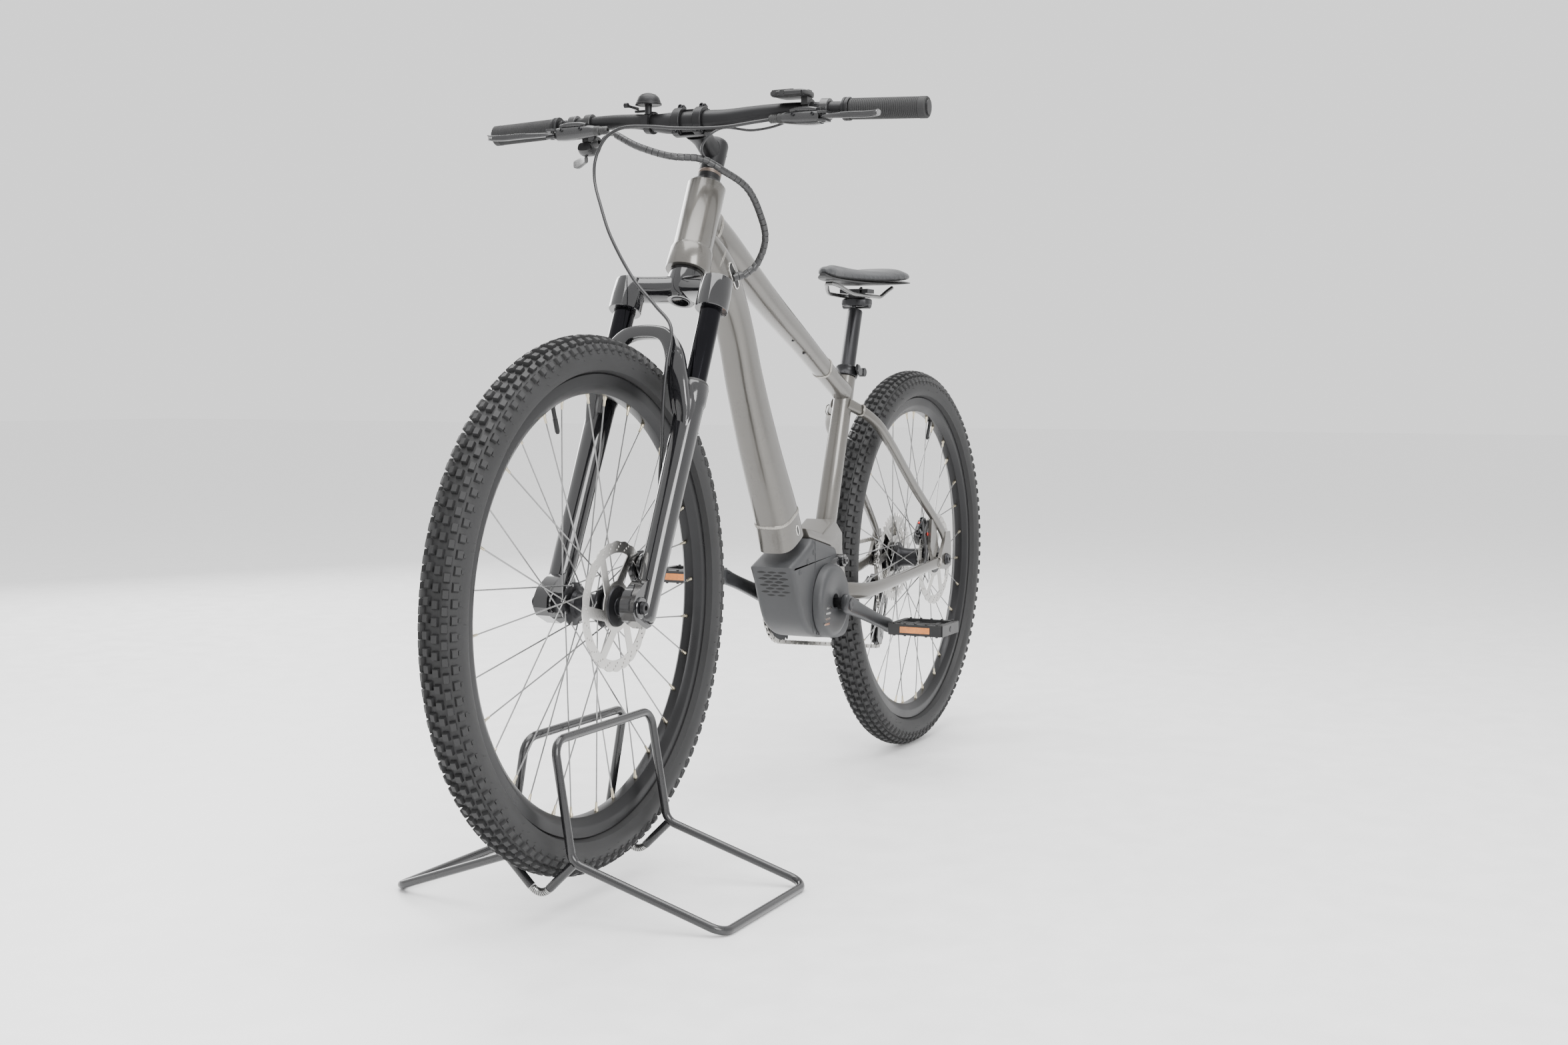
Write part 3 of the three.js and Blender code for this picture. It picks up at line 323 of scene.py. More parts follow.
# ---------------------------------------------------------------- tyres
# Folding tyres of black rubber on a nylon casing, moulded with rows of square tread blocks: two down the
# middle, one each side between them and a braced row on each shoulder, with moulding whiskers on the walls.
TYRE_RADIUS = 0.370
CASING = {"middle": 0.3365, "wide": 0.0282, "high": 0.0275}
TREAD_ROWS = 112
tyre_rubber = surface("tyre_rubber", (0.012, 0.012, 0.0125), 0.62, grain=700, spread=0.35, bump=0.00012)


def lathe(profile, centre=Vector(), axis=Vector((0, 1, 0)), steps=96, closed=True):
    """A turned shape: (radius, height) points swept round an axis. An open profile ends on the axis."""
    axis = Vector(axis).normalized()
    out = axis.orthogonal().normalized()
    if abs(axis.y) > 0.99:
        out = Vector((1, 0, 0))
    over = axis.cross(out)
    columns = []
    for step in range(steps):
        angle = 2 * math.pi * step / steps
        radial = out * math.cos(angle) + over * math.sin(angle)
        columns.append([centre + axis * height + radial * radius for radius, height in profile])
    count = len(profile)
    faces = []
    for s in range(steps):
        here, there = s * count, (s + 1) % steps * count
        for k in range(count if closed else count - 1):
            faces.append((here + k, here + (k + 1) % count, there + (k + 1) % count, there + k))
    return [p for column in columns for p in column], faces


def interface(tree, inputs):
    """Names the tree's inputs and its one output, and gives the group input and output nodes."""
    tree.interface.new_socket("Geometry", in_out="INPUT", socket_type="NodeSocketGeometry")
    for name, kind in inputs.items():
        tree.interface.new_socket(name, in_out="INPUT", socket_type="NodeSocket" + kind)
    tree.interface.new_socket("Geometry", in_out="OUTPUT", socket_type="NodeSocketGeometry")
    return node(tree, "NodeGroupInput").outputs, node(tree, "NodeGroupOutput")


def ring_tree():
    """Copies its geometry round an axis through the origin, then carries the ring to its centre."""
    tree = bpy.data.node_groups.new("ring_of_pieces", "GeometryNodeTree")
    given, result = interface(tree, {"Count": "Int", "Axis": "Vector", "Centre": "Vector", "Phase": "Float",
                                     "Material": "Material"})
    points = node(tree, "GeometryNodePoints", {"Count": given["Count"]})
    step = node(tree, "ShaderNodeMath", {0: 2 * math.pi, 1: given["Count"]}, operation="DIVIDE")
    index = node(tree, "GeometryNodeInputIndex")
    angle = node(tree, "ShaderNodeMath", {0: index.outputs[0], 1: step.outputs[0], 2: given["Phase"]},
                 operation="MULTIPLY_ADD")
    turn = node(tree, "FunctionNodeAxisAngleToRotation", {"Axis": given["Axis"], "Angle": angle.outputs[0]})
    copies = node(tree, "GeometryNodeInstanceOnPoints",
                  {"Points": points.outputs[0], "Instance": given["Geometry"],
                                                         "Rotation": turn.outputs[0]})
    placed = node(tree, "GeometryNodeTransform",
                  {"Geometry": copies.outputs[0], "Translation": given["Centre"]})
    real = node(tree, "GeometryNodeRealizeInstances", {"Geometry": placed.outputs[0]})
    painted = node(tree, "GeometryNodeSetMaterial",
                   {"Geometry": real.outputs[0], "Material": given["Material"]})
    tree.links.new(painted.outputs[0], result.inputs[0])
    return tree


def grown(shape, tree, **values):
    """The plain mesh that a node tree makes from a shape."""
    seed = bpy.data.objects.new("seed", mesh_of(shape))
    scene.collection.objects.link(seed)
    modifier = seed.modifiers.new("tree", "NODES")
    modifier.node_group = tree
    for item in tree.interface.items_tree:
        if item.in_out == "INPUT" and item.name in values:
            modifier[item.identifier] = values[item.name]
    ready = seed.evaluated_get(bpy.context.evaluated_depsgraph_get())
    mesh = bpy.data.meshes.new_from_object(ready)
    seed.modifiers.remove(modifier)
    bpy.data.objects.remove(seed)
    return mesh


RING = ring_tree()


def on_casing(angle, height, along):
    """A point over the casing: angle from its crown, height above it, and distance along the tread."""
    radius = CASING["middle"] + (CASING["high"] + height) * math.cos(angle)
    turn = along / TYRE_RADIUS
    return Vector((radius * math.sin(turn), (CASING["wide"] + height) * math.sin(angle),
                   radius * math.cos(turn)))


def block(angle, width, length, height, offset, taper=0.78):
    """One tread block standing on the casing, narrower at its top."""
    half = width / CASING["high"] / 2
    rings = []
    for level, share in ((-0.0015, 1.12), (height * 0.75, (1 + taper) / 2), (height, taper)):
        corners = ((-half, -length / 2), (half, -length / 2), (half, length / 2), (-half, length / 2))
        rings.append([on_casing(angle + a * share, level, offset + d * share) for a, d in corners])
    return skin(rings)


def whisker(angle, length, along):
    """A moulding hair that leans out of the sidewall."""
    foot, tip = on_casing(angle, -0.0005, along), on_casing(angle + 0.05, length, along + 0.001)
    return rod([foot, tip], lambda t: 0.0004 * (1 - 0.6 * t), 3)


def casing():
    """The bead, sidewall and crown of the tyre as one thick band."""
    wall = [(0.3063, 0.0108), (0.3090, 0.0116), (0.3175, 0.0128), (0.3190, 0.0158)]
    arc = [math.radians(a) for a in (124, 112, 98, 84, 70, 56, 42, 28, 14)]
    wall += [(CASING["middle"] + CASING["high"] * math.cos(a), CASING["wide"] * math.sin(a)) for a in arc]
    crown = [(CASING["middle"] + CASING["high"], 0.0)]
    return lathe(wall + crown + [(r, -y) for r, y in reversed(wall)], steps=144)


def tread_cell():
    pitch = 2 * math.pi * TYRE_RADIUS / TREAD_ROWS
    blocks = []
    for side in (1, -1):
        blocks.append(block(side * 0.20, 0.0072, pitch * 0.56, 0.0056, pitch * 0.10 * side))
        blocks.append(block(side * 0.58, 0.0070, pitch * 0.60, 0.0056, pitch * 0.48))
        blocks.append(block(side * 0.98, 0.0085, pitch * 0.58, 0.0042, pitch * 0.02, 0.7))
        blocks.append(block(side * 1.24, 0.0040, pitch * 0.30, 0.0012, pitch * 0.02, 0.7))
    return merged(*blocks)


def turned_to(shape, centre):
    """A shape made about the origin, as one piece at a wheel's centre."""
    return moved(shape, Matrix.Translation(centre))


random.seed(29)
for end, body in (("front", "front_wheel"), ("rear", "rear_wheel")):
    centre = AXLE[end]
    hairs = [moved(whisker(side * random.uniform(1.3, 1.75), random.uniform(0.0015, 0.004), 0),
                   Matrix.Rotation(random.uniform(0, 2 * math.pi), 4, "Y"))
             for side in (1, -1) for _ in range(70)]
    piece(f"{end}_tyre_casing", turned_to(merged(casing(), *hairs), centre), body, tyre_rubber,
          f"{end}_tyre")
    piece(f"{end}_tyre_tread", grown(tread_cell(), RING, Count=TREAD_ROWS, Axis=(0, 1, 0), Centre=centre,
                                     Phase=0.0, Material=tyre_rubber), body, tyre_rubber, crease=25)

# ---------------------------------------------------------------- rims, spokes and hubs
# Box-section rims of black anodised alloy with a wide bed, brass nipples, and thin steel spokes laced in
# crossing pairs to turned hub shells. Each rim has a tube valve with a black cap.
rim_black = surface("rim_anodising", (0.016, 0.016, 0.017), 0.33, grain=1200, Metallic=0.6)
spoke_steel = surface("spoke_steel", (0.30, 0.30, 0.30), 0.3, grain=2000, Metallic=1.0)
nipple_brass = surface("nipple_plating", (0.52, 0.47, 0.36), 0.3, grain=2000, Metallic=1.0)
hub_black = surface("hub_anodising", (0.02, 0.02, 0.022), 0.3, grain=1500, Metallic=0.7)
NIPPLE_RADIUS = 0.2876
FLANGE_RADIUS = 0.028
SPOKE_LEAN = math.radians(62)
LACING = {"front": (0.0245, 0.025, math.radians(65.7)), "rear": (0.030, 0.025, math.radians(106.1))}
SPOKES = 32
CELL_SPOKES = 4


def wheel_point(radius, side, angle):
    return Vector((radius * math.cos(angle), side, radius * math.sin(angle)))


def spoke_cell(left, right, phase):
    """Two spokes to each flange, one leaning each way, with their heads; and their nipples apart."""
    spokes, nipples = [], []
    for i in range(CELL_SPOKES):
        flange = -right if i % 2 else left
        lean = 1 if i // 2 % 2 else -1
        rim_angle = phase + 2 * math.pi * i / SPOKES
        inner = wheel_point(FLANGE_RADIUS, flange + lean * 0.0017, rim_angle + lean * SPOKE_LEAN)
        outer = wheel_point(NIPPLE_RADIUS, math.copysign(0.003, flange), rim_angle)
        head = Vector((0, lean * 0.0026, 0))
        along = (outer - inner).normalized()
        spokes += [rod([inner, outer], 0.00105, 7), rod([inner - head * 1.6, inner + head * 0.4], 0.0011, 7),
                   rod([inner + head * 0.2, inner + head * 0.7], 0.0022, 8)]
        profile = [(0, -0.012), (0.0017, -0.012), (0.0019, -0.004), (0.0028, -0.002), (0.0029, 0.0018),
                   (0, 0.0018)]
        nipples.append(lathe(profile, outer, along, 10, closed=False))
    return merged(*spokes), merged(*nipples)


def rim_profile():
    half = [(0.2890, 0.0045), (0.2896, 0.0072), (0.2920, 0.0098), (0.3000, 0.0147), (0.3030, 0.0155),
            (0.3160, 0.0155),
            (0.3170, 0.0149), (0.3170, 0.0131), (0.3150, 0.0125), (0.3062, 0.0112)]
    return half + [(r, -y) for r, y in reversed(half)]


def valve(angle):
    """The tube's valve stem through the rim, with its lock nut and cap."""
    along = wheel_point(-1, 0, angle)
    foot = wheel_point(0.2905, 0, angle)
    stem = [(0, 0), (0.0045, 0), (0.0045, 0.003), (0.003, 0.0035), (0.003, 0.020), (0.0034, 0.0205),
            (0.0034, 0.038),
            (0.0022, 0.041), (0, 0.041)]
    return lathe(stem, foot, along, 16, closed=False)


HUB_SHELL = {
    "front": [(8, -54.5), (13.6, -54.5), (14, -53.8), (14, -34), (15, -31), (29, -27.5), (30, -26.5),
              (30, -23.5),
              (29, -22.5), (20, -20), (16.5, -16), (15.5, 0), (16.5, 14), (20, 19), (29, 22.2), (30, 23),
              (30, 26),
              (29, 27), (21, 30), (21, 44.6), (12.4, 46), (12, 46.6), (12, 54), (11.5, 54.5), (8, 54.5)],
    "rear": [(6.8, -69.5), (10, -69.5), (10, -67.5), (16.6, -67), (16.6, -30), (28, -27.5), (29, -26.5),
             (29, -23.5),
             (28, -22.5), (21, -20), (18.5, -15), (17.5, 0), (18.5, 20), (22, 25), (29, 28.2), (30, 29),
             (30, 31.2),
             (29, 32), (21, 35), (21, 54.4), (12.4, 56), (12, 56.6), (12, 69.5), (6.8, 69.5)],
}

for end, body in (("front", "front_wheel"), ("rear", "rear_wheel")):
    centre = AXLE[end]
    left, right, phase = LACING[end]
    spokes, nipples = spoke_cell(left, right, phase)
    lacing = {"Count": SPOKES // CELL_SPOKES, "Axis": (0, 1, 0), "Centre": centre, "Phase": 0.0}
    rim = merged(lathe(rim_profile(), steps=160), valve(phase + math.radians(5.6)))
    piece(f"{end}_rim_and_valve", turned_to(rim, centre), body, rim_black, f"{end}_rim",
          crease=30)
    piece(f"{end}_spokes", grown(spokes, RING, Material=spoke_steel, **lacing), body, spoke_steel,
          f"{end}_hub_and_spokes")
    piece(f"{end}_nipples", grown(nipples, RING, Material=nipple_brass, **lacing), body, nipple_brass)
    shell = lathe([(r * MM, y * MM) for r, y in HUB_SHELL[end]], steps=64)
    piece(f"{end}_hub_shell", turned_to(shell, centre), body, hub_black, crease=30)

# ---------------------------------------------------------------- brake discs
# Stamped stainless discs: a braking ring drilled in slanting rows of three, on six raked arms that are
# bolted to the hub with a black lock ring.
disc_steel = surface("disc_steel", (0.56, 0.55, 0.53), 0.24, grain=1800, spread=0.08, Metallic=1.0,
                     Anisotropic=0.4)
DISC = {"outer": 0.090, "ring": 0.0735, "arm_in": 0.035, "bore": 0.0214, "half": 0.0009}
DISC_SIDE = {"front": 0.042, "rear": 0.052}
HOLE_ROWS = 24


def plate(outline, low, high, holes=()):
    """A flat plate in the XZ plane, from y low to y high, with holes through it."""
    loops = [[Vector((x, 0, z)) for x, z in loop] for loop in (outline, *holes)]
    flat = [[Vector((p.x, p.z, 0)) for p in loop] for loop in loops]
    triangles = tessellate_polygon(flat)
    corners = [p for loop in loops for p in loop]
    count = len(corners)
    points = [Vector((p.x, low, p.z)) for p in corners] + [Vector((p.x, high, p.z)) for p in corners]
    faces = [tuple(t) for t in triangles] + [tuple(i + count for i in reversed(t)) for t in triangles]
    start = 0
    for loop in loops:
        size = len(loop)
        faces += [(start + k, start + (k + 1) % size, start + (k + 1) % size + count, start + k + count)
                  for k in range(size)]
        start += size
    return points, faces


def arc(radius, start, end, steps, x=0.0, z=0.0):
    turns = [start + (end - start) * k / steps for k in range(steps + 1)]
    return [(x + radius * math.cos(a), z + radius * math.sin(a)) for a in turns]


def circle(radius, sides, x=0.0, z=0.0):
    return arc(radius, 0, 2 * math.pi * (1 - 1 / sides), sides - 1, x, z)


def brake_disc(y):
    wave = [(DISC["outer"] - 0.0008 + 0.0008 * math.cos(24 * a)) for a in
            (2 * math.pi * k / 240 for k in range(240))]
    outline = [(r * math.cos(2 * math.pi * k / 240), r * math.sin(2 * math.pi * k / 240)) for k,
               r in enumerate(wave)]
    holes = []
    for row in range(HOLE_ROWS):
        for k, radius in enumerate((0.0775, 0.0815, 0.0855)):
            angle = 2 * math.pi * (row + 0.22 * k) / HOLE_ROWS
            holes.append(circle(0.0015 + 0.0002 * (k == 1), 8, radius * math.cos(angle),
                                radius * math.sin(angle)))
    arms = 6
    pitch = 2 * math.pi / arms
    for i in range(arms):
        outer_arc = arc(DISC["ring"], pitch * (i + 0.10), pitch * (i + 0.90), 12)
        inner_arc = arc(DISC["arm_in"], pitch * (i + 0.50), pitch * (i - 0.04), 6)
        holes.append(outer_arc + inner_arc)
    holes.append(circle(DISC["bore"], 40))
    return plate(outline, y - DISC["half"], y + DISC["half"], holes)


for end, body in (("front", "front_wheel"), ("rear", "rear_wheel")):
    y = DISC_SIDE[end]
    piece(f"{end}_brake_disc", turned_to(brake_disc(y), AXLE[end]), body, disc_steel, f"{end}_rotor")
    lock_ring = [(0.0212, y - 0.003), (0.0300, y - 0.003), (0.0300, y - DISC["half"]),
                 (0.0216, y - DISC["half"]),
                 (0.0216, y + DISC["half"]), (0.0285, y + DISC["half"]), (0.0275, y + 0.0035),
                 (0.0150, y + 0.0035),
                 (0.0150, y + 0.0015), (0.0212, y + 0.0015)]
    piece(f"{end}_disc_lock_ring", turned_to(lathe(lock_ring, steps=48), AXLE[end]), body, hub_black,
          bevel=0.0003)

# ---------------------------------------------------------------- suspension fork
# Cast magnesium lowers joined by an arch, polished stanchions and a forged crown, all in deep gloss black.
# The stanchions slide in the lowers through felt-lined wiper seals; the crown is pressed on the steerer.
STEERING = Matrix.Translation((0.3265, 0, 0.875)) @ Matrix.Rotation(math.radians(-25.5), 4, "Y")
LEG_X, LEG_Y = 30, 72
DROP = 546.5
RAKE = 54
STANCHION = 16
fork_gloss = surface("fork_gloss", (0.006, 0.006, 0.007), 0.10, grain=300, bump=0.00001, Coat_Weight=0.8)
stanchion_gloss = surface("stanchion_coating", (0.008, 0.008, 0.010), 0.07, grain=2500, Metallic=0.85,
                          bump=0.000006)
seal_rubber = surface("seal_rubber", (0.02, 0.02, 0.02), 0.5)
bolt_black = surface("blackened_bolt", (0.03, 0.03, 0.032), 0.35, grain=2500, Metallic=0.8)


def loft(stations, across=(0, 1, 0), square=2.0, sides=32, fine=6, caps=True):
    """A bar skinned through stations of x, y, z, half width and half depth, in millimetres."""
    across = Vector(across)
    path = smooth_through([[v * MM for v in station] for station in stations], fine)
    turns = [2 * math.pi * (k + 0.5) / sides for k in range(sides)]
    section = [[math.copysign(abs(f) ** (2 / square), f) for f in (math.cos(a), math.sin(a))] for a in turns]
    rings = []
    for i, (x, y, z, wide, deep) in enumerate(path):
        along = Vector(path[min(i + 1, len(path) - 1)][:3]) - Vector(path[max(i - 1, 0)][:3])
        along.normalize()
        side = (across - along * across.dot(along)).normalized()
        up = along.cross(side)
        rings.append([Vector((x, y, z)) + side * wide * c + up * deep * s for c, s in section])
    return skin(rings, caps=caps)


def turned(profile, at=(0, 0, 0), axis=(0, 0, 1), steps=48, closed=True):
    """A lathe turning in millimetres about a point."""
    return lathe([(r * MM, h * MM) for r, h in profile], Vector(at) * MM, Vector(axis), steps, closed)


def cylinder(start, end, radius, end_radius=None, chamfer=0.4, steps=32):
    """A turned pin between two points, in millimetres, with small chamfers."""
    start, end = Vector(start), Vector(end)
    long = (end - start).length
    last = radius if end_radius is None else end_radius
    profile = [(0, 0), (radius - chamfer, 0), (radius, chamfer), (last, long - chamfer),
               (last - chamfer, long),
               (0, long)]
    return turned(profile, start, end - start, steps, closed=False)


def brick(x, y, z, wide, long, high):
    """A block about its middle, in millimetres."""
    corners = [(x + sx * wide / 2, y + sy * long / 2, z + sz * high / 2)
               for sz in (-1, 1) for sx, sy in ((-1, -1), (1, -1), (1, 1), (-1, 1))]
    faces = [(3, 2, 1, 0), (4, 5, 6, 7), (0, 1, 5, 4), (1, 2, 6, 5), (2, 3, 7, 6), (3, 0, 4, 7)]
    return [Vector(p) * MM for p in corners], faces


def slab(outline, low, high, holes=()):
    """A flat plate in the XZ plane, in millimetres."""
    scaled = [[(x * MM, z * MM) for x, z in loop] for loop in (outline, *holes)]
    return plate(scaled[0], low * MM, high * MM, scaled[1:])


def socket_bolt(at, axis, head=4.5, high=4.5, socket=2.2, deep=2.5):
    """A cap screw's head with its hexagon socket, in millimetres, standing on a point."""
    axis = Vector(axis).normalized()
    ring = [(head - 0.5, high), (head, high - 0.5), (head, 0), (0, 0)]
    shell = turned([(0, high - deep)] + [(socket, high - deep), (socket, high)] + ring, at, axis, 24,
                   closed=False)
    return shell


def mirrored(shape):
    """The shape on the other side of the bicycle."""
    return [Vector((p.x, -p.y, p.z)) for p in shape[0]], shape[1]


def leg_point(side, z):
    return (LEG_X, side * LEG_Y, z)


def fork_leg():
    """The left leg: bored tube, seal collar, dropout with its axle hole, and the lobe under the arch."""
    bore = STANCHION + 0.4
    tube = [(0, -560), (11, -560), (16, -557), (17.6, -551), (18.6, -420), (20, -250), (20.3, -236),
            (22, -230),
            (22, -206), (21, -201.5), (bore + 1, -201), (bore, -203), (bore, -505), (0, -505)]
    dropout = [(13, -500), (24, -492), (40, -496), (58, -512), (72, -532), (74.5, -547), (70, -560),
               (58, -567.5),
               (26, -567.5), (15, -560)]
    hole = circle(7.9, 32, RAKE, -DROP)
    boss = turned([(7.9, 55.3), (14, 55.3), (15, 56.5), (15, 81), (14, 82), (7.9, 82)], (RAKE, 0, -DROP),
                  (0, 1, 0))
    shoulder = loft([(30, 76, -300, 14, 10), (33, 76, -262, 17, 12), (38, 75, -232, 16, 13),
                     (44, 73, -210, 12, 9)],
                    (1, 0, 0), 2.4, 28)
    return merged(turned(tube, leg_point(1, 0), steps=64, closed=False), slab(dropout, 57.5, 79.5, [hole]),
                  boss, shoulder)


def fork_arch():
    """The hollow-backed bridge over the tyre, with its stiffening lip."""
    half = [(34, 74, -285, 10, 8), (42, 74, -255, 11, 11), (54, 70, -228, 11, 12), (63, 62, -196, 10, 12),
            (67, 52, -166, 9, 11), (68, 36, -146, 8.5, 9.5), (68, 16, -139, 8, 8)]
    both = half + [(x, -y, z, wide, deep) for x, y, z, wide, deep in reversed(half)]
    lip = [(x + 6.5, y * 0.93, z + 2, 3, deep + 1.5) for x, y, z, wide, deep in both[1:-1]]
    return merged(loft(both, (1, 0, 0), 3.0, 28, 5), loft(lip, (1, 0, 0), 2.4, 16, 5))


left_leg = fork_leg()
hose_clip = merged(brick(70, 46, -168, 8, 13, 12), socket_bolt((74, 53, -170), (1, 0, 0), 2.6, 2, 1.2, 1.2))
piece("fork_casting", moved(merged(left_leg, mirrored(left_leg), fork_arch()), STEERING), STAND_BODY,
      fork_gloss,
      "fork_lowers", crease=32)
piece("fork_hose_clip", moved(hose_clip, STEERING), STAND_BODY, bolt_black, bevel=0.0005)
seals = merged(*(turned([(16.2, -201), (20.5, -201), (20.5, -199.5), (18.6, -197), (16.4, -196.6)],
                        leg_point(s, 0))
                 for s in (1, -1)))
piece("stanchion_seals", moved(seals, STEERING), STAND_BODY, seal_rubber)
axle = merged(turned([(0, -90), (6.9, -90), (7.5, -89.4), (7.5, 80), (0, 80)], (RAKE, 0, -DROP), (0, 1, 0),
                     40, False),
              turned([(0, 82.5), (8.6, 82.5), (9, 83), (8.2, 87.6), (7.6, 88), (3.6, 88), (3.6, 84.5),
                      (0, 84.5)],
                     (RAKE, 0, -DROP), (0, 1, 0), 40, False))
piece("front_through_axle", moved(axle, STEERING), STAND_BODY, bolt_black, "front_axle",
      crease=30)


def crown():
    """The forged bridge, its two pinch-fit cups and the hollow steerer that it is pressed on."""
    bore = STANCHION + 0.3
    cup = [(bore, -81), (23.6, -81), (24.5, -80), (24.6, -60), (23.6, -36), (22.6, -31.5), (21.5, -30.6),
           (12, -30.6), (12, -33), (bore, -33.6)]
    arms = [(LEG_X * (abs(y) / LEG_Y) ** 1.3, y, -28 - 0.22 * abs(y), 24 - 0.04 * abs(y), 17)
            for y in (-LEG_Y, -54, -36, -18, 0, 18, 36, 54, LEG_Y)]
    race = [(14.5, -49.5), (20, -49.5), (21, -48.2), (21, -46), (24.5, -41), (27, -30), (26.6, -14),
            (25.5, -1.2), (14.3, -1.2), (14.3, 219.6), (11.5, 219.6), (11.5, -20), (14.5, -40)]
    return merged(*(turned(cup, leg_point(s, 0), steps=64) for s in (1, -1)),
                  loft(arms, (1, 0, 0), 2.6, 36, 4),
                  turned(race, steps=64))


piece("fork_bridge", moved(crown(), STEERING), "cockpit", fork_gloss, "fork_crown", crease=32)
piece("steerer_mouth", moved(turned([(12.4, -50.4), (14.7, -50.4), (14.7, -30), (12.4, -30)]), STEERING),
      "cockpit", bolt_black)
for side, hand in ((1, "left"), (-1, "right")):
    tube = [(0, -352), (15.2, -352), (16, -351), (16, -41), (0, -41)]
    piece(f"{hand}_stanchion_tube", moved(turned(tube, leg_point(side, 0), steps=64, closed=False), STEERING),
          "cockpit", stanchion_gloss, f"{hand}_stanchion", crease=32)

# ---------------------------------------------------------------- headset, stem and handlebar
# A sealed cone and one bronze-coloured spacer carry the forged stem. Its faceplate is held by four bolts and
# grips the double-butted riser bar, which swells to full size at the clamp.
cockpit_black = surface("cockpit_anodising", (0.016, 0.016, 0.017), 0.42, grain=2600, Metallic=0.55,
                        bump=0.00002)
spacer_bronze = surface("spacer_bronze", (0.16, 0.125, 0.105), 0.4, grain=2600, Metallic=0.6)
BAR_FORWARD, BAR_UP = 84, 208
BAR_AT = STEERING @ (Vector((BAR_FORWARD, 0, BAR_UP)) * MM)
BAR_PLACE = Matrix.Translation(BAR_AT)
CLAMP_RADIUS = 15.9
cone = turned([(14.7, 147.9), (27, 147.9), (27, 149.2), (25.6, 151.2), (19.2, 155.6), (18, 157.4),
               (18, 165.4),
               (14.7, 165.4)], steps=64)
upper_spacer = turned([(14.7, 171.4), (17.6, 171.4), (18, 171.8), (18, 182.6), (17.6, 183), (14.7, 183)],
                      steps=64)
piece("headset_cone_and_spacer", moved(merged(cone, upper_spacer), STEERING), "cockpit", cockpit_black,
      "headset_spacers", crease=30)
piece("bronze_spacer",
      moved(turned([(14.7, 165.6), (17.7, 165.6), (18, 166), (18, 170.8), (17.7, 171.2), (14.7, 171.2)],
                                    steps=64), STEERING), "cockpit", spacer_bronze)


def half_ring(inner, outer, half, start, end, steps=28):
    """Part of a thick ring round the bar, in the steering frame."""
    rings = []
    for k in range(steps + 1):
        a = start + (end - start) * k / steps
        spoke = Vector((math.cos(a), 0, math.sin(a)))
        at = Vector((BAR_FORWARD, 0, BAR_UP))
        rings.append([(at + spoke * r + Vector((0, y, 0))) * MM
                      for r, y in ((inner, -half), (outer - 1, -half), (outer, -half + 1), (outer, half - 1),
                                   (outer - 1, half), (inner, half))])
    return skin(rings)


quarter = math.pi / 2
post = turned([(14.6, 183.3), (18.4, 183.3), (19, 184), (19, 221), (18, 224), (17, 226), (15.4, 227.6),
               (4, 228),
               (4, 225.5), (0, 225.5), (0, 221.6), (14.6, 221.6)], steps=56, closed=False)
neck = loft([(8, 0, 204, 15, 17), (26, 0, 205, 14, 15.5), (44, 0, 206.4, 14.5, 14.5),
             (62, 0, 207.6, 20, 16.5)],
            (0, 1, 0), 2.8, 36, 5)
stem_bolts = [socket_bolt((-19, side * 6.5, z), (-1, 0, 0), 3.4, 3, 1.7, 1.8) for side in (1, -1)
              for z in (192, 214)]
back_ring = half_ring(CLAMP_RADIUS + 0.3, 22, 26, quarter * 1.03, quarter * 2.97)
piece("stem_body", moved(merged(post, neck, back_ring), STEERING), "cockpit", cockpit_black,
      "stem",
      bevel=0.0005, crease=35)
bands = [moved(half_ring(CLAMP_RADIUS + 0.3, 22, 7, -quarter * 0.95, quarter * 0.95),
               Matrix.Translation((0, side * 18 * MM, 0))) for side in (1, -1)]
bridges = [half_ring(CLAMP_RADIUS + 0.4, 19.4, 14, a - 0.16, a + 0.16, 6)
           for a in (-quarter * 0.82, quarter * 0.82)]
ears = [brick(BAR_FORWARD + 6, side * 18, BAR_UP + up * 20.5, 9, 11, 8) for side in (1, -1) for up in (1, -1)]
plate_bolts = [socket_bolt((BAR_FORWARD + 10, side * 18, BAR_UP + up * 20.5), (1, 0, 0), 3.6, 3.6, 1.8)
               for side in (1, -1) for up in (1, -1)]
piece("faceplate_bands", moved(merged(*bands, *bridges, *ears), STEERING), "cockpit", cockpit_black,
      "stem_faceplate", bevel=0.0006, crease=35)
piece("stem_bolts", moved(merged(*plate_bolts, *stem_bolts), STEERING), "cockpit", bolt_black,
      crease=30)

BAR_HALF = [(0, 0, 0, 15.9), (0, 34, 0, 15.9), (-1, 60, 2, 13.5), (-5, 100, 7, 11.1), (-10, 140, 9, 11.1),
            (-15, 180, 9, 11.1), (-27.5, 368, 3, 11.1)]
bar_stations = [(x, -y, z, r, r) for x, y, z,
                r in reversed(BAR_HALF[1:])] + [(x, y, z, r, r) for x, y, z, r in BAR_HALF]
piece("riser_bar", moved(loft(bar_stations, (0, 0, 1), 2.0, 40, 8), BAR_PLACE), "cockpit", cockpit_black,
      "handlebar")


def on_bar(side, out):
    """A point of the straight outer part of the bar, in millimetres from the clamp's middle."""
    a, b = Vector(BAR_HALF[-2][:3]), Vector(BAR_HALF[-1][:3])
    at = a.lerp(b, (out - a.y) / (b.y - a.y))
    return Vector((at.x, side * at.y, at.z))


def round_bar(side, start, profile, steps=48, closed=True):
    """A turning about the outer bar: (radius, distance beyond the start) points."""
    return turned(profile, on_bar(side, start), on_bar(side, start + 10) - on_bar(side, start), steps, closed)


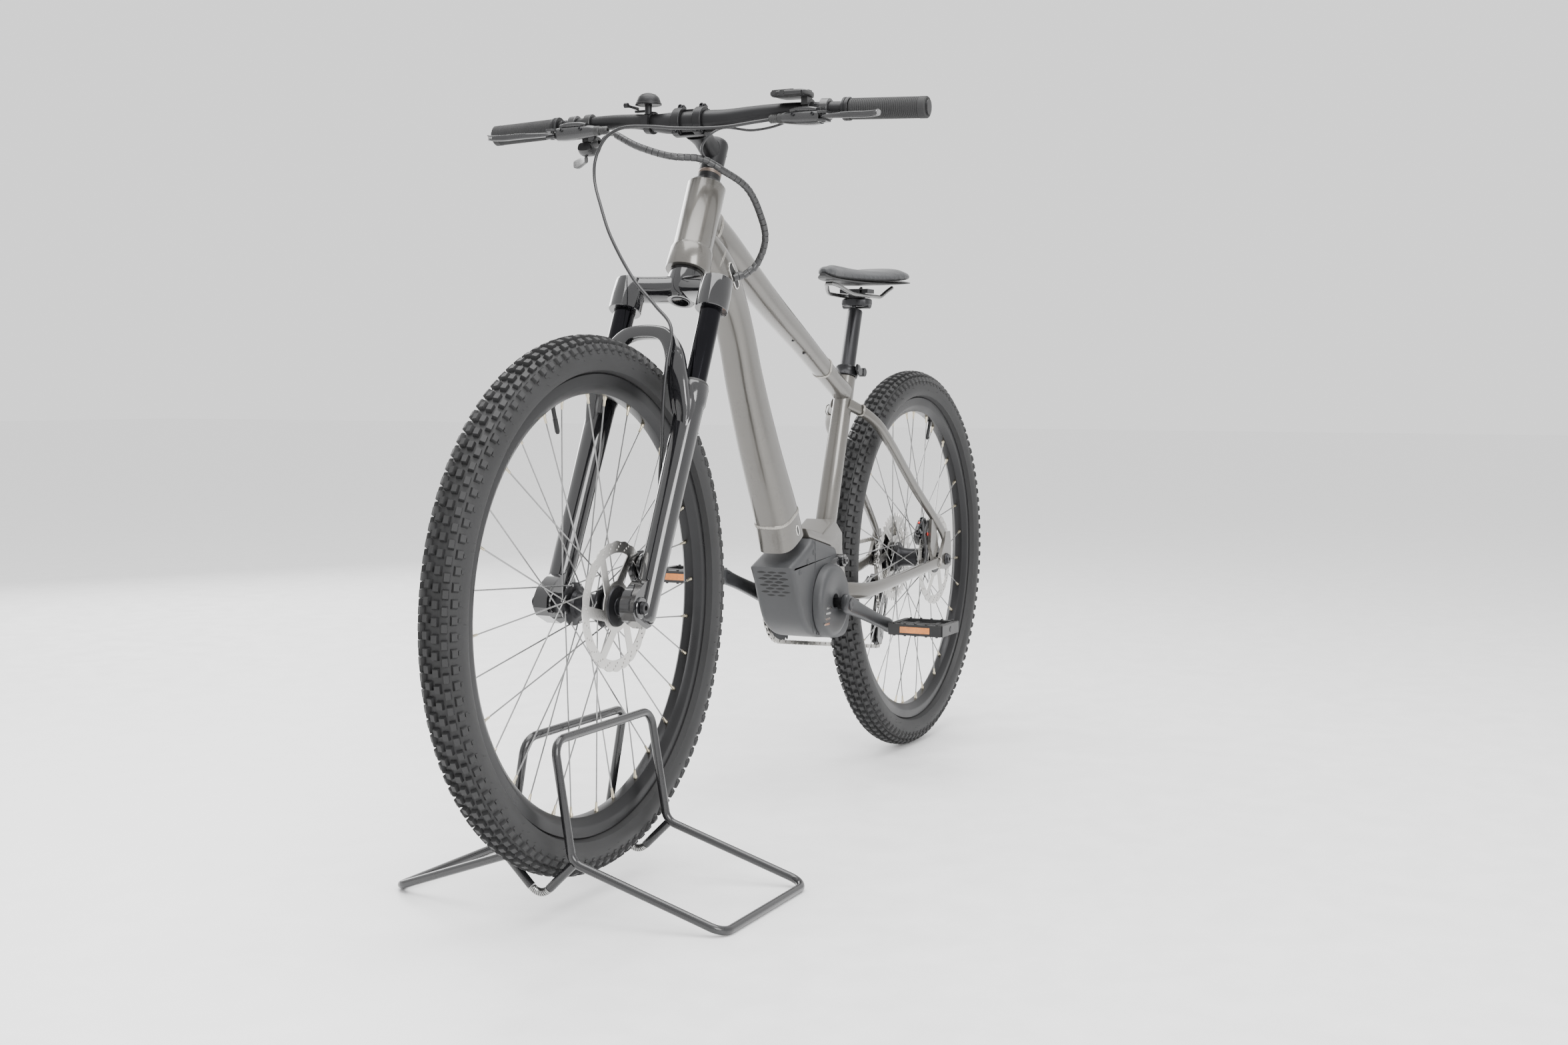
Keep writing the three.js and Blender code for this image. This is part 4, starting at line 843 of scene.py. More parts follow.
# ---------------------------------------------------------------- grips
# Lock-on grips: a ribbed rubber sleeve with a plain end cap, moulded on a plastic core, and an alloy ring
# with a pinch bolt at the inner end.
grip_rubber = surface("grip_rubber", (0.015, 0.015, 0.0155), 0.7, grain=1500, bump=0.00005)
GRIP = {"inner": 11.8, "start": 251, "end": 366, "rib": 15.5, "groove": 14.7, "ribs": 36}


def grip_sleeve(side):
    """The rubber from the lock ring to the closed end, with a rib every three millimetres."""
    length = GRIP["end"] - GRIP["start"]
    pitch = (length - 14) / GRIP["ribs"]
    outside = []
    for k in range(GRIP["ribs"]):
        at = 2 + k * pitch
        outside += [(GRIP["groove"], at), (GRIP["rib"], at + pitch * 0.3), (GRIP["rib"], at + pitch * 0.72)]
    cap = [(GRIP["groove"], length - 12), (15.8, length - 11), (15.8, length - 1.5), (14.6, length),
           (0, length)]
    bore = [(0, length - 2), (GRIP["inner"], length - 2), (GRIP["inner"], 0), (14.5, 0)]
    return round_bar(side, GRIP["start"], bore + outside + cap, 56, closed=False)


for side, hand in ((1, "left"), (-1, "right")):
    piece(f"{hand}_grip_rubber", moved(grip_sleeve(side), BAR_PLACE), "cockpit", grip_rubber,
          f"{hand}_grip", crease=25)
    lock_ring = round_bar(side, 240, [(11.5, 0), (16.2, 0), (17, 0.8), (17, 4), (16, 4.6), (16, 6),
                                      (17, 6.6), (17, 9.4),
                                      (16.4, 10.2), (11.5, 10.2)])
    pinch = socket_bolt(on_bar(side, 245) + Vector((11, 0, -13)), (0.6, 0, -0.8), 2.4, 2, 1.2, 1)
    piece(f"{hand}_grip_lock_ring", moved(merged(lock_ring, pinch), BAR_PLACE), "cockpit", cockpit_black)

# ---------------------------------------------------------------- brake levers
# Each master cylinder is a forged barrel with a bolted reservoir cover, on a hinged bar clamp. The hose goes
# in through a rubber boot, and the pressed lever pivots between two ears and is hooked at its tip.
lever_black = surface("lever_coating", (0.02, 0.02, 0.021), 0.26, grain=800, bump=0.00004, Coat_Weight=0.3)


def sided(side, shape):
    return shape if side > 0 else mirrored(shape)


def master_body():
    """The left master: barrel, reservoir cover, clamp and pivot ears."""
    barrel = loft([(14, 158, -6, 7.5, 7.5), (14.5, 166, -6, 9, 9), (16, 186, -7, 10.5, 10.5),
                   (17, 208, -8, 11, 11),
                   (20, 222, -9, 9.5, 9.5)], (0, 0, 1), 2.3, 28, 5)
    cover = loft([(15, 172, 3.2, 3.2, 7), (16, 184, 4.5, 4, 8.5), (17, 204, 3.8, 4, 9), (19, 216, 2, 3, 7)],
                 (0, 0, 1), 3, 24, 4)
    clamp = round_bar(1, 206, [(11.6, 0), (15.2, 0), (16, 0.8), (16, 12.2), (15.2, 13), (11.6, 13)])
    arm = brick(8, 212.5, -1, 20, 12, 15)
    ears = [brick(25, 227, -9 + up * 5.6, 17, 15, 3.6) for up in (1, -1)]
    pin = cylinder((26, 227, -17.4), (26, 227, -0.6), 3, steps=20)
    return merged(barrel, cover, clamp, arm, *ears, pin)


def lever_blade():
    """The left lever, flat and broad under the fingers, with a rolled front edge."""
    spine = [(21, 223, -9, 2.9, 4), (29, 231, -9.5, 3, 6), (38, 244, -11, 3.4, 5), (45, 262, -12, 4, 4.2),
             (46.5, 282, -12.5, 4.4, 4), (46, 300, -13, 4.4, 4), (47.5, 312, -13, 4.2, 4),
             (51, 320, -13, 4, 3.8),
             (56, 324, -13, 3.6, 3)]
    return merged(loft(spine, (0, 0, 1), 3.4, 20, 6),
                  loft([(x + 3, y, z + 3.4, 0.9, 1.1) for x, y, z, _, _ in spine[3:]], (0, 0, 1), 2, 10, 5))


for side, hand in ((1, "left"), (-1, "right")):
    piece(f"{hand}_brake_master_body", moved(sided(side, master_body()), BAR_PLACE), "cockpit", lever_black,
          f"{hand}_brake_master", bevel=0.0005, crease=40)
    boot = [(2.6, 136), (4.6, 136),
            (5.6, 137)] + [p for k in range(4) for p in ((6.4, 139 + k * 3), (5.7, 140.5 + k * 3))]
    boot += [(7.4, 151), (7.6, 160), (2.6, 160)]
    piece(f"{hand}_hose_boot", moved(sided(side, turned(boot, (14, 0, -6), (0, 1, 0), 28)), BAR_PLACE),
          "cockpit",
          seal_rubber)
    screws = [socket_bolt(at, axis, 2.6, 1.8, 1.3, 1) for at, axis in
              (((26.5, 178, -3), (1, 0, 0.2)), ((28, 210, -4), (1, 0, 0.2)), ((19, 212, 10), (0.6, 0, 0.8)))]
    piece(f"{hand}_master_screws", moved(sided(side, merged(*screws)), BAR_PLACE), "cockpit", bolt_black)
    piece(f"{hand}_lever_blade", moved(sided(side, lever_blade()), BAR_PLACE), f"{hand}_brake", lever_black,
          f"{hand}_brake_lever")

# ---------------------------------------------------------------- shifter, display and bell
# Moulded controls: a trigger shifter under the right of the bar, the drive system's display with two
# six-sided buttons on the left, and a small alloy bell with a sprung striker beside the stem.
control_plastic = surface("control_plastic", (0.013, 0.013, 0.0135), 0.4, grain=900, bump=0.00005)
screen_glass = surface("screen_glass", (0.004, 0.004, 0.005), 0.06, grain=200, bump=0.000002, Coat_Weight=1.0)


def six_sided(x, z, radius):
    return circle(radius, 6, x, z)


shifter_clamp = round_bar(-1, 178, [(11.6, 0), (14.8, 0), (15.5, 0.7), (15.5, 11.3), (14.8, 12), (11.6, 12)])
shifter_case = loft([(-30, -187, -12, 13, 9), (-22, -187, -24, 14, 13), (-12, -187, -30, 14, 10),
                     (0, -187, -26, 11, 7)],
                    (0, 1, 0), 3.2, 28, 5)
shifter_neck = brick(-8, -184, -13, 18, 11, 12)
adjuster = turned([(2.8, 0), (6, 0), (6.4, 1.2), (5.4, 3), (6.2, 4.4), (5.2, 9), (3.4, 14), (2.8, 14)],
                  (-4, -172, -24),
                  (0.35, 1, 0.2), 24)
piece("shifter_housing", moved(merged(shifter_clamp, shifter_case, shifter_neck, adjuster), BAR_PLACE),
      "cockpit",
      control_plastic, "shifter_body", crease=35)
paddle = loft([(-12, -190, -44.8, 5, 3), (-24, -203, -46, 6, 2.5), (-37, -219, -46.5, 8, 2.8),
               (-45, -231, -46, 6, 2.4)],
              (0, 0, 1), 3, 24, 6)
piece("shift_thumb_lever", moved(paddle, BAR_PLACE), "shifter_lever", control_plastic,
      "shift_paddle")

display_case = loft([(-19, 168, 28.5, 24, 3.6), (-10, 168, 29.5, 27.5, 4.6), (8, 168, 29.5, 28, 5),
                     (20, 168, 28.6, 27, 5.2),
                     (26, 168, 28.5, 25.5, 3.6)], (0, 1, 0), 4.5, 40, 5)
display_band = round_bar(1, 181, [(11.6, 0), (14.8, 0), (15.5, 0.7), (15.5, 9.3), (14.8, 10), (11.6, 10)])
display_foot = brick(-6, 186, 20, 18, 10, 12)
display_hood = loft([(26.4, 150, 28, 3.2, 2.6), (27.4, 168, 28, 3.6, 3), (26.4, 192, 28, 3.2, 2.6)],
                    (0, 0, 1), 3, 18, 4)
piece("display_housing", moved(merged(display_case, display_band, display_foot, display_hood), BAR_PLACE),
      "cockpit",
      control_plastic, "display_unit", crease=35)
screen = moved(slab([(-16, 146), (20, 146), (20, 176), (-16, 176)], -34.9, -34.2),
               Matrix.Rotation(math.radians(90), 4, "X"))
screen = [Vector((p.x, abs(p.y), abs(p.z))) for p in screen[0]], screen[1]
piece("display_screen", moved(screen, BAR_PLACE), "cockpit", screen_glass, bevel=0.0003)
faces_out = [slab(six_sided(0, 0, r), y, y + 1) for r, y in ((5.2, 0), (3.8, 1))]
front_keys = [moved(merged(*faces_out),
                    Matrix.Translation(Vector((29.6, y, 28.2)) * MM) @ Matrix.Rotation(-quarter, 4, "Z"))
              for y in (150, 163)]
piece("display_front_keys", moved(merged(*front_keys), BAR_PLACE), "cockpit", control_plastic,
      bevel=0.0004)
piece("display_power_key", moved(brick(-8, 186, 34.3, 11.6, 11.6, 3.6), BAR_PLACE), "display_key",
      seal_rubber,
      "display_button", bevel=0.0012)

bell_axis = Vector(BAR_HALF[3][:3]) - Vector(BAR_HALF[2][:3])
bell_axis.y *= -1
bell_at = Vector((-2, -64, 2.4))
bell_dome = turned([(0, 30), (4, 29), (17, 29), (18.8, 28), (20.2, 28.4), (20.2, 30.6), (18.8, 31.4),
                    (18.4, 34), (16.2, 39.4),
                    (11.6, 43.8), (5.6, 45.8), (0, 46)], (6, -70, 0), steps=56, closed=False)
bell_band = turned([(14.2, 0), (16.4, 0), (17, 0.6), (17, 11.4), (16.4, 12), (14.2, 12)], bell_at, bell_axis)
bell_shelf = merged(cylinder((6, -70, 14), (6, -70, 29.6), 5.4), brick(-2, -84, 21, 8, 24, 3),
                    brick(17, -70, 3, 7, 11, 18))
piece("bell_dome_and_band", moved(merged(bell_dome, bell_band, bell_shelf), BAR_PLACE), "cockpit",
      cockpit_black,
      "bell", crease=35)
striker = merged(loft([(-4, -93, 25.5, 1.4, 2.4), (14, -93, 25.5, 1.3, 2), (31, -93, 25.5, 1.5, 2.4)],
                      (0, 1, 0), 3, 12, 4),
                 cylinder((33, -96, 25.5), (33, -89.4, 25.5), 3.8, steps=20))
piece("bell_striker_arm", moved(striker, BAR_PLACE), "bell_hammer", cockpit_black,
      "bell_striker")

# ---------------------------------------------------------------- hoses and cables
# The front brake hose is one nylon tube from the left boot, past the front of the stem, to a clip on the
# fork arch and down to the caliper. The rear hose, shift cable and display wire share a slit sleeve that
# runs to the frame.
hose_nylon = surface("hose_nylon", (0.016, 0.016, 0.017), 0.32, grain=600, bump=0.00002)
sleeve_plastic = surface("sleeve_plastic", (0.028, 0.028, 0.029), 0.36, grain=800, bump=0.00004)
HOSE = [(327, 147, 1093), (331, 118, 1090), (346, 66, 1083), (358, 0, 1084), (362, -50, 1089),
        (366, -90, 1088),
        (370, -115, 1074), (375, -129, 1044), (385, -125, 1011), (400, -107, 975), (415, -80, 924),
        (426, -36, 861),
        (442, 10, 820), (462, 46, 788), (480, 49, 738), (486, 47, 691), (490, 46.5, 622), (497, 46.5, 569),
        (496, 46.5, 520), (496, 45, 487), (504, 43.6, 469), (516.6, 43, 461.6)]
BUNDLE = [(326, -147, 1091), (342, -112, 1082), (352, -70, 1062), (346, -20, 1046), (322, 22, 1042),
          (304, 45, 1028),
          (257, 66, 1003), (222, 74, 958), (206, 71, 928), (205, 58, 896), (218, 44, 878), (230, 35.6, 873)]
SHIFT_CABLE = [(308, -158, 1079), (318, -148, 1083), (330, -132, 1085), (342, -112, 1082)]
DISPLAY_WIRE = [(304, 176, 1112), (300, 150, 1092), (306, 100, 1082), (320, 58, 1086), (333, 40, 1074),
                (334, 28, 1056),
                (318, 26, 1043)]


def cord_line(points, fine=8):
    return smooth_through([[v * MM for v in p] for p in points], fine)


hose = piece("front_hose", rod(cord_line(HOSE), 2.5 * MM, 14), None, hose_nylon, "front_brake_hose")
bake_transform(hose)


def slit_sleeve(line, pitch=0.0095, slit=0.0009):
    """A sleeve cut across at even steps, over a slimmer core."""
    points, radii = [], []
    walked = 0.0
    for a, b in zip(line, line[1:]):
        step = math.dist(a, b)
        while walked < step:
            at = [p + (q - p) * walked / step for p, q in zip(a, b)]
            for shift, radius in ((0, 0.0044), (0.0001, 0.0054), (pitch - slit, 0.0054),
                                  (pitch - slit + 0.0001, 0.0044)):
                along = [(q - p) / step * shift for p, q in zip(a, b)]
                points.append([p + s for p, s in zip(at, along)])
                radii.append(radius)
            walked += pitch
        walked -= step
    return rod(points, lambda t: radii[round(t * (len(radii) - 1))], 18)


sleeve_line = cord_line(BUNDLE[1:], 6)
for name, shape, material, stands_for in (
        ("cable_sleeve", slit_sleeve(sleeve_line), sleeve_plastic, "control_cables"),
        ("rear_brake_hose", rod(cord_line(BUNDLE[:3]), 2.5 * MM, 12), hose_nylon, ()),
        ("shift_cable", rod(cord_line(SHIFT_CABLE), 2.2 * MM, 12), hose_nylon, ()),
        ("display_wire", rod(cord_line(DISPLAY_WIRE), 1.8 * MM, 12), hose_nylon, ())):
    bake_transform(piece(name, shape, None, material, stands_for))

# ---------------------------------------------------------------- frame
# Hydroformed aluminium tubes, welded with a rippled bead at each joint and painted warm grey with a fine
# metal flake. The down tube has a lock at its foot and a cable port by the head.
flake_paint = surface("flake_paint", (0.118, 0.112, 0.102), 0.30, grain=2600, spread=0.05, gloss_spread=0.05,
                      Metallic=0.6, Coat_Weight=0.75, Coat_Roughness=0.08, bump=0.00001)
weld_metal = surface("weld_bead", (0.34, 0.325, 0.30), 0.30, grain=400, spread=0.25, Metallic=0.8,
                     bump=0.0002)
# Near-black plastic for the cable grommet, and painted shade for the insides of the port and lock holes.
port_shade_and_grommet_black = surface("grommet_plastic_and_painted_port_shade", (0.012, 0.012, 0.012), 0.5)
lock_steel = surface("lock_steel", (0.55, 0.54, 0.52), 0.25, grain=1800, Metallic=1.0)
SEAT_UP = Vector((-math.cos(math.radians(71.2)), 0, math.sin(math.radians(71.2))))


def on_seat(height):
    return Vector((-186, 0, 440)) + SEAT_UP * height


def both_sides(shape):
    return merged(shape, mirrored(shape))


head_tube = turned([(19, 0), (33, 0), (33.5, 0.8), (32.6, 33), (31.4, 37), (30, 41), (29.5, 146.8),
                    (28.8, 147.6), (19, 147.6)],
                   steps=72)
DOWN_TUBE = [(306, 0, 930, 20, 18), (292, 0, 922, 24, 26), (240, 0, 880, 30, 34), (196, 0, 838, 27, 29),
             (163, 0, 786, 26, 27),
             (129, 0, 707, 27, 29), (76, 0, 602, 29, 33), (12, 0, 492, 31, 38), (-10, 0, 446, 31.5, 41)]
TOP_TUBE = [(275, 0, 956, 22, 26), (210, 0, 925, 24, 25), (120, 0, 880, 22, 22), (36, 0, 838, 20, 21),
            (-88, 0, 781, 18, 18),
            (-171, 0, 741, 17, 17), (-268, 0, 696, 17, 17)]
CHAIN_STAY = [(-188, 14, 352, 10, 11), (-206, 36, 346, 9, 15), (-250, 51, 342, 8, 14), (-320, 59, 345, 8, 11),
              (-480, 64, 357, 8, 10), (-585, 73, 366, 4, 10)]
SEAT_STAY = [(-262, 12, 676, 8, 11), (-296, 36, 656, 8, 9), (-330, 50, 630, 8, 9), (-480, 58, 518, 7.5, 8.5),
             (-600, 70, 428, 5, 9), (-622, 73, 400, 4, 12)]
BRACKET = [(-48, 466), (-58, 449.5), (-151, 429), (-173, 402), (-182, 356), (-216, 348), (-222, 366),
           (-205, 420), (-204, 450),
           (-170, 474), (-120, 452), (-76, 462)]
DROPOUT = [(-640, 356), (-616, 350), (-590, 352), (-570, 364), (-586, 384), (-600, 404), (-606, 424),
           (-632, 424), (-638, 400)]


def rounded_slab(outline, low, high, rounding, steps=4):
    """A plate in the XZ plane, in millimetres, with its rims rounded over."""
    count = len(outline)
    loop = [Vector((x, 0, z)) for x, z in outline]
    clockwise = sum(a.x * b.z - b.x * a.z for a, b in zip(loop, loop[1:] + loop[:1])) < 0
    inwards = []
    for i, at in enumerate(loop):
        along = (loop[(i + 1) % count] - at).normalized() + (at - loop[i - 1]).normalized()
        inwards.append(Vector((-along.z, 0, along.x)).normalized() * (-1 if clockwise else 1))
    levels = []
    for k in range(steps + 1):
        turn = quarter * k / steps
        levels.append((low + rounding * (1 - math.sin(turn)), rounding * (1 - math.cos(turn))))
    levels.reverse()
    levels += [(high - (y - low), inset) for y, inset in reversed(levels)]
    return skin([[(at + inwards[i] * inset + Vector((0, y, 0))) * MM for i, at in enumerate(loop)] for y,
                 inset in levels])


def weld(centre, normal, across, wide, deep, square=2.0, bead=2.2):
    """A rippled bead round a tube's end, in millimetres."""
    normal = Vector(normal).normalized()
    side = (Vector(across) - normal * Vector(across).dot(normal)).normalized()
    up = normal.cross(side)
    points = []
    steps = 220
    for k in range(steps):
        a = 2 * math.pi * k / steps
        c, s = math.cos(a), math.sin(a)
        w = wide * math.copysign(abs(c) ** (2 / square), c)
        d = deep * math.copysign(abs(s) ** (2 / square), s)
        points.append((Vector(centre) + side * w + up * d) * MM)
    rings = []
    for i, at in enumerate(points):
        along = (points[(i + 1) % steps] - points[i - 1]).normalized()
        out = along.cross(normal).normalized()
        size = bead * MM * (1 + 0.22 * math.sin(i * 2.1))
        rings.append([at + out * size * 0.55 * math.cos(b) + normal * size * 1.5 * math.sin(b)
                      for b in (2 * math.pi * n / 8 for n in range(8))])
    return skin(rings, closed=True)


seat_tube = turned([(0, -14), (18.4, -14), (19, -13), (17.2, 299), (16.4, 300), (14, 300), (14, 20),
                    (0, 20)], on_seat(0), SEAT_UP,
                   64, closed=False)
dropouts = [slab(DROPOUT, low, high, [circle(6.5, 28, -610.5, 370)]) for low,
            high in ((70.3, 77), (-77, -70.3))]
hanger = slab([(-634, 362), (-610, 356), (-616, 330), (-620, 316), (-632, 312), (-637, 318)], -77, -70.3)
caliper_mount = slab([(-590, 392), (-566, 366), (-545, 400), (-552, 452), (-576, 444)], 61.6, 68)
gusset = loft([(-176, 0, 742, 14, 9), (-196, 0, 733, 17, 12), (-230, 0, 716, 16, 15)], (0, 1, 0), 2.6, 28, 4)
stays = both_sides(merged(loft(CHAIN_STAY, square=3, sides=28), loft(SEAT_STAY, square=3, sides=28)))
piece("painted_frame", merged(moved(head_tube, STEERING), loft(DOWN_TUBE, square=3.4, sides=48), gusset,
                              loft(TOP_TUBE, square=2.8, sides=44), seat_tube,
                              rounded_slab(BRACKET, -29, 29, 4), stays,
                              *dropouts, hanger, caliper_mount), "main_frame", flake_paint,
      "frame", crease=34)
beads = [weld((262, 0, 899), (0.78, 0, 0.63), (0, 1, 0), 27.5, 31, 3.0),
         weld((256, 0, 947), (0.90, 0, 0.43), (0, 1, 0), 23, 26, 2.6),
         weld((-176, 0, 739), (-0.93, 0, -0.36), (0, 1, 0), 17.3, 17.6, 2.8),
         weld((10, 0, 489), (0.43, 0, 0.9), (0, 1, 0), 31.3, 38.6, 3.4, 2.0),
         weld(on_seat(12), SEAT_UP, (0, 1, 0), 19.6, 19.6),
         *(weld((x, s * y, z), (-1, s * 0.4, -0.3), (0, 1, 0), 8.6, 10, 3, 1.6) for s in (1, -1)
           for x, y, z in ((-282, 30, 664), (-576, 71.6, 365.4)))]
piece("frame_welds", merged(*beads), "main_frame", weld_metal, crease=60)


def port_frame(centre, y, long, wide, tilt):
    """A long round-ended hole's rim, and a flat sheet of painted shade for its dark inside, on the left face."""
    centre = Vector((centre[0], 0, centre[1]))
    along = Vector((math.cos(tilt), 0, math.sin(tilt)))
    over = Vector((-along.z, 0, along.x))
    half = long / 2 - wide / 2
    loop = [(half * (1 if k < 12 else -1) + wide / 2
             * math.cos(-quarter + math.pi * (k % 12) / 11 + (0 if k < 12 else math.pi)),
             wide / 2 * math.sin(-quarter + math.pi * (k % 12) / 11 + (0 if k < 12 else math.pi)))
            for k in range(24)]
    spots = [(centre + along * a + over * b) for a, b in loop]
    rim = rod([(p + Vector((0, y, 0))) * MM for p in spots], 1.3 * MM, 10, closed=True)
    return rim, slab([(p.x, p.z) for p in spots], y - 1, y + 0.5)


port_rim, port_shade_sheet = port_frame((231, 875), 30.3, 46, 14, math.radians(50))
lock_rim, lock_shade_sheet = port_frame((-6, 466), 31.3, 17, 9, math.radians(66))
piece("cable_port_rim", merged(port_rim, lock_rim), "main_frame", lock_steel)
# The sheets in the cable port and the lock are near-black painted shade, standing for the dark inside of each
# hole.
piece("port_inserts", merged(port_shade_sheet, lock_shade_sheet), "main_frame", port_shade_and_grommet_black)
bottle_bolts = [socket_bolt((x, 6, z), (0, 0.25, -0.97), 2.8, 1.8, 1.4, 1.0) for x,
                z in ((-40, 783.5), (-84, 763))]
piece("tube_bolts", merged(*bottle_bolts), "main_frame", bolt_black)
port_grommet = turned([(2.5, 0), (6.5, 0), (6.8, 1.5), (6.2, 6), (5.8, 13), (5.4, 13.4), (2.5, 13.4)],
                      (230, 31, 873),
                      Vector((-12, 8.4, 5)), 24)
piece("cable_grommet", port_grommet, "main_frame", port_shade_and_grommet_black)

# ---------------------------------------------------------------- motor
# A cast drive unit in a moulded charcoal casing that meets the down tube. Its front has staggered lens-shaped
# vents, drawn as flat near-black sheets: painted shade for the dark inside of each opening. Its left side
# carries a round cover; a black hanger bolt holds the unit behind.
casing_charcoal = surface("casing_charcoal", (0.032, 0.033, 0.035), 0.5, grain=700, spread=0.10, bump=0.00008)
# Near-black for the vent sheets: painted shade for the dark inside of the vent openings.
vent_painted_shade = surface("vent_painted_shade", (0.006, 0.006, 0.006), 0.7)
slot_polish = surface("slot_polish", (0.72, 0.72, 0.71), 0.22, grain=1500, Metallic=1.0)
MOTOR = [(33, 406), (21, 382), (-3, 330), (-22, 303), (-60, 282), (-112, 273), (-190, 266), (-212, 284),
         (-214, 316), (-184, 324),
         (-176.5, 352), (-169.5, 400), (-150.3, 427.5)]
COVER = (-110, 338)


def traced(outline, fine=4):
    """The outline's points with smooth stretches between them."""
    return [(x, z) for x, _, z in smooth_through([(x, 0, z) for x, z in outline], fine)]


casing_shape = traced(MOTOR) + [(-58, 448.7), (-52, 449.2), (-46, 441), (-12, 425), (30, 409)]
piece("motor_casing", rounded_slab(casing_shape, -40, 40, 9, 6), "main_frame", casing_charcoal,
      "motor_unit",
      crease=50)
seam = [(-58, 446), (-60, 404), (-47, 352), (-44, 310), (-56, 286)]
seam_line = rod(smooth_through([(x * MM, 0.0402, z * MM) for x, z in seam], 8), 0.0005, 6)
screws = [turned([(0, 1.2), (1.6, 1.2), (2.6, 0.4), (3, 0), (4.6, 0), (4.9, 0.6), (4.2, 1.4), (3.4, 1.5),
                  (2.8, 0.9), (0, 0.9)],
                 (x, 39.7, z), (0, 1, 0), 24, closed=False) for x,
          z in ((-30, 412), (-54, 426), (-150, 352), (-72, 286), (2, 396))]
piece("motor_casing_seams", merged(seam_line, *screws), "main_frame", casing_charcoal,
      crease=50)


def lens(x, z, half, high):
    """A vent hole, pointed at both ends."""
    top = [(x - half + 2 * half * k / 6, z + high * math.sin(math.pi * k / 6)) for k in range(7)]
    return top + [(px, 2 * z - pz) for px, pz in reversed(top[1:-1])]


front_face = Matrix(((0, 0.904, 0.428, -0.003), (-1, 0, 0, 0), (0, -0.428, 0.904, 0.330), (0, 0, 0, 1)))
# Each vent opening is a flat near-black sheet on the casing front: painted shade standing for the dark inside of
# the opening.
vent_shade_sheets = []
for row in range(11):
    columns = (-9.5, 9.5) if row % 2 else (-19, 0, 19)
    vent_shade_sheets += [moved(slab(lens(x, 11 + 6.3 * row, 8.2, 1.75), -0.4, 0.15), front_face) for x in columns]
piece("motor_vents", merged(*vent_shade_sheets), "main_frame", vent_painted_shade)
cover_profile = [(13, 40.3), (63, 40.3), (64, 41.5), (62.5, 50), (60.5, 55), (57, 57.4), (52, 58), (24, 58),
                 (20, 56.5), (13, 56.5)]
piece("motor_side_cover", turned(cover_profile, (COVER[0], 0, COVER[1]), (0, 1, 0), 96), "main_frame",
      casing_charcoal,
      "motor_cover", crease=40)
slots = [slab([(-148 + 2.4 * k, 320 - 9 * k), (-146 + 2.4 * k, 322 - 9 * k), (-128 + 3 * k, 322 - 9 * k),
               (-127 + 3 * k, 320 - 9 * k),
               (-129 + 3 * k, 318.5 - 9 * k), (-146 + 2.4 * k, 318.5 - 9 * k)], 57.6, 58.3)
         for k in range(-1, 3)]
slots = [moved(slot, Matrix.Translation((0.062, 0, 0.0))) for slot in slots]
piece("cover_slots", merged(*slots), "main_frame", slot_polish)
hanger_boss = merged(turned([(0, 52), (2.8, 52), (2.8, 57), (5.8, 57), (6.4, 56.4), (6.4, 53), (10, 53),
                             (11, 52), (11, 29), (0, 29)],
                            (-158, 0, 404), (0, 1, 0), 40, closed=False),
                     loft([(-158, 36, 404, 12, 9), (-140, 34, 398, 10, 12), (-122, 30, 392, 8, 12)],
                          (0, 1, 0), 3, 24, 4))
piece("motor_hanger_bolt", hanger_boss, "main_frame", fork_gloss, bevel=0.0004)

# ---------------------------------------------------------------- cranks and pedals
# Forged alloy cranks on a square axle, each held by a socket bolt under a ring cap. The platform pedals have
# a moulded cage with studs, and a ribbed amber reflector on their front and back edges.
crank_grey = surface("crank_coating", (0.033, 0.034, 0.036), 0.38, grain=1100, Metallic=0.35, bump=0.00004)
pedal_black = surface("pedal_plastic", (0.014, 0.014, 0.0145), 0.36, grain=700, bump=0.00008)
amber = surface("amber_reflector", (0.62, 0.19, 0.02), 0.16, grain=240, spread=0.3, bump=0.0003,
                Coat_Weight=0.8)
BRACKET_AT = Vector((-125.5, 0, 332))
CRANK_LENGTH = 170
CRANK_ANGLE = math.radians(19)


def crank_out(side, distance, y):
    """A point along a crank's arm, in millimetres."""
    along = Vector((-side * math.cos(CRANK_ANGLE), 0, -side * math.sin(CRANK_ANGLE)))
    return BRACKET_AT + along * distance + Vector((0, side * y, 0))


def crank_arm(side):
    stations = [(-17, 72, 5, 10), (-14, 72, 7, 14.2), (-6, 72, 7.5, 16), (14, 72, 7.5, 16),
                (50, 74, 7.5, 13.4), (120, 80, 7.3, 11.5),
                (152, 83, 7.2, 12), (166, 84, 7.2, 13), (178, 84, 6.8, 11.4), (183, 84, 4.6, 8)]
    arm = loft([(*crank_out(side, out, y), wide, deep) for out, y, wide, deep in stations], (0, 1, 0), 3.0,
               36, 4)
    cap = turned([(0, 6.6), (4, 6.6), (4, 9), (7.4, 9), (7.8, 8.6), (9.6, 8.2), (10.2, 7.6), (10.2, 6.4),
                  (11, 6.2), (11, 0), (0, 0)],
                 crank_out(side, 0, 72.2), (0, side, 0), 40, closed=False)
    return merged(arm, cap)


def pedal_cage(side):
    """Rails front and back, a rib down the middle, end bars, and studs."""
    middle = crank_out(side, CRANK_LENGTH, 152)
    x, y, z = middle
    parts = [brick(x + e * 40.5, y, z, 10, 98, 20) for e in (1, -1)]
    parts += [brick(x, y + e * 46.5, z, 84, 10, 20) for e in (1, -1)]
    parts += [loft([(x, y - 46, z, 10, 9), (x, y, z, 8, 8), (x, y + 46, z, 10, 9)], (1, 0, 0), 3, 24, 4)]
    parts += [brick(x + e * 23, y + k * 20, z, 27, 6, 14) for e in (1, -1) for k in (-1, 1)]
    parts += [cylinder((x + e * 41, y + k * 20, z - 12), (x + e * 41, y + k * 20, z + 12), 2.4, steps=12)
              for e in (1, -1) for k in (-2, -1, 0, 1, 2)]
    return merged(*parts)


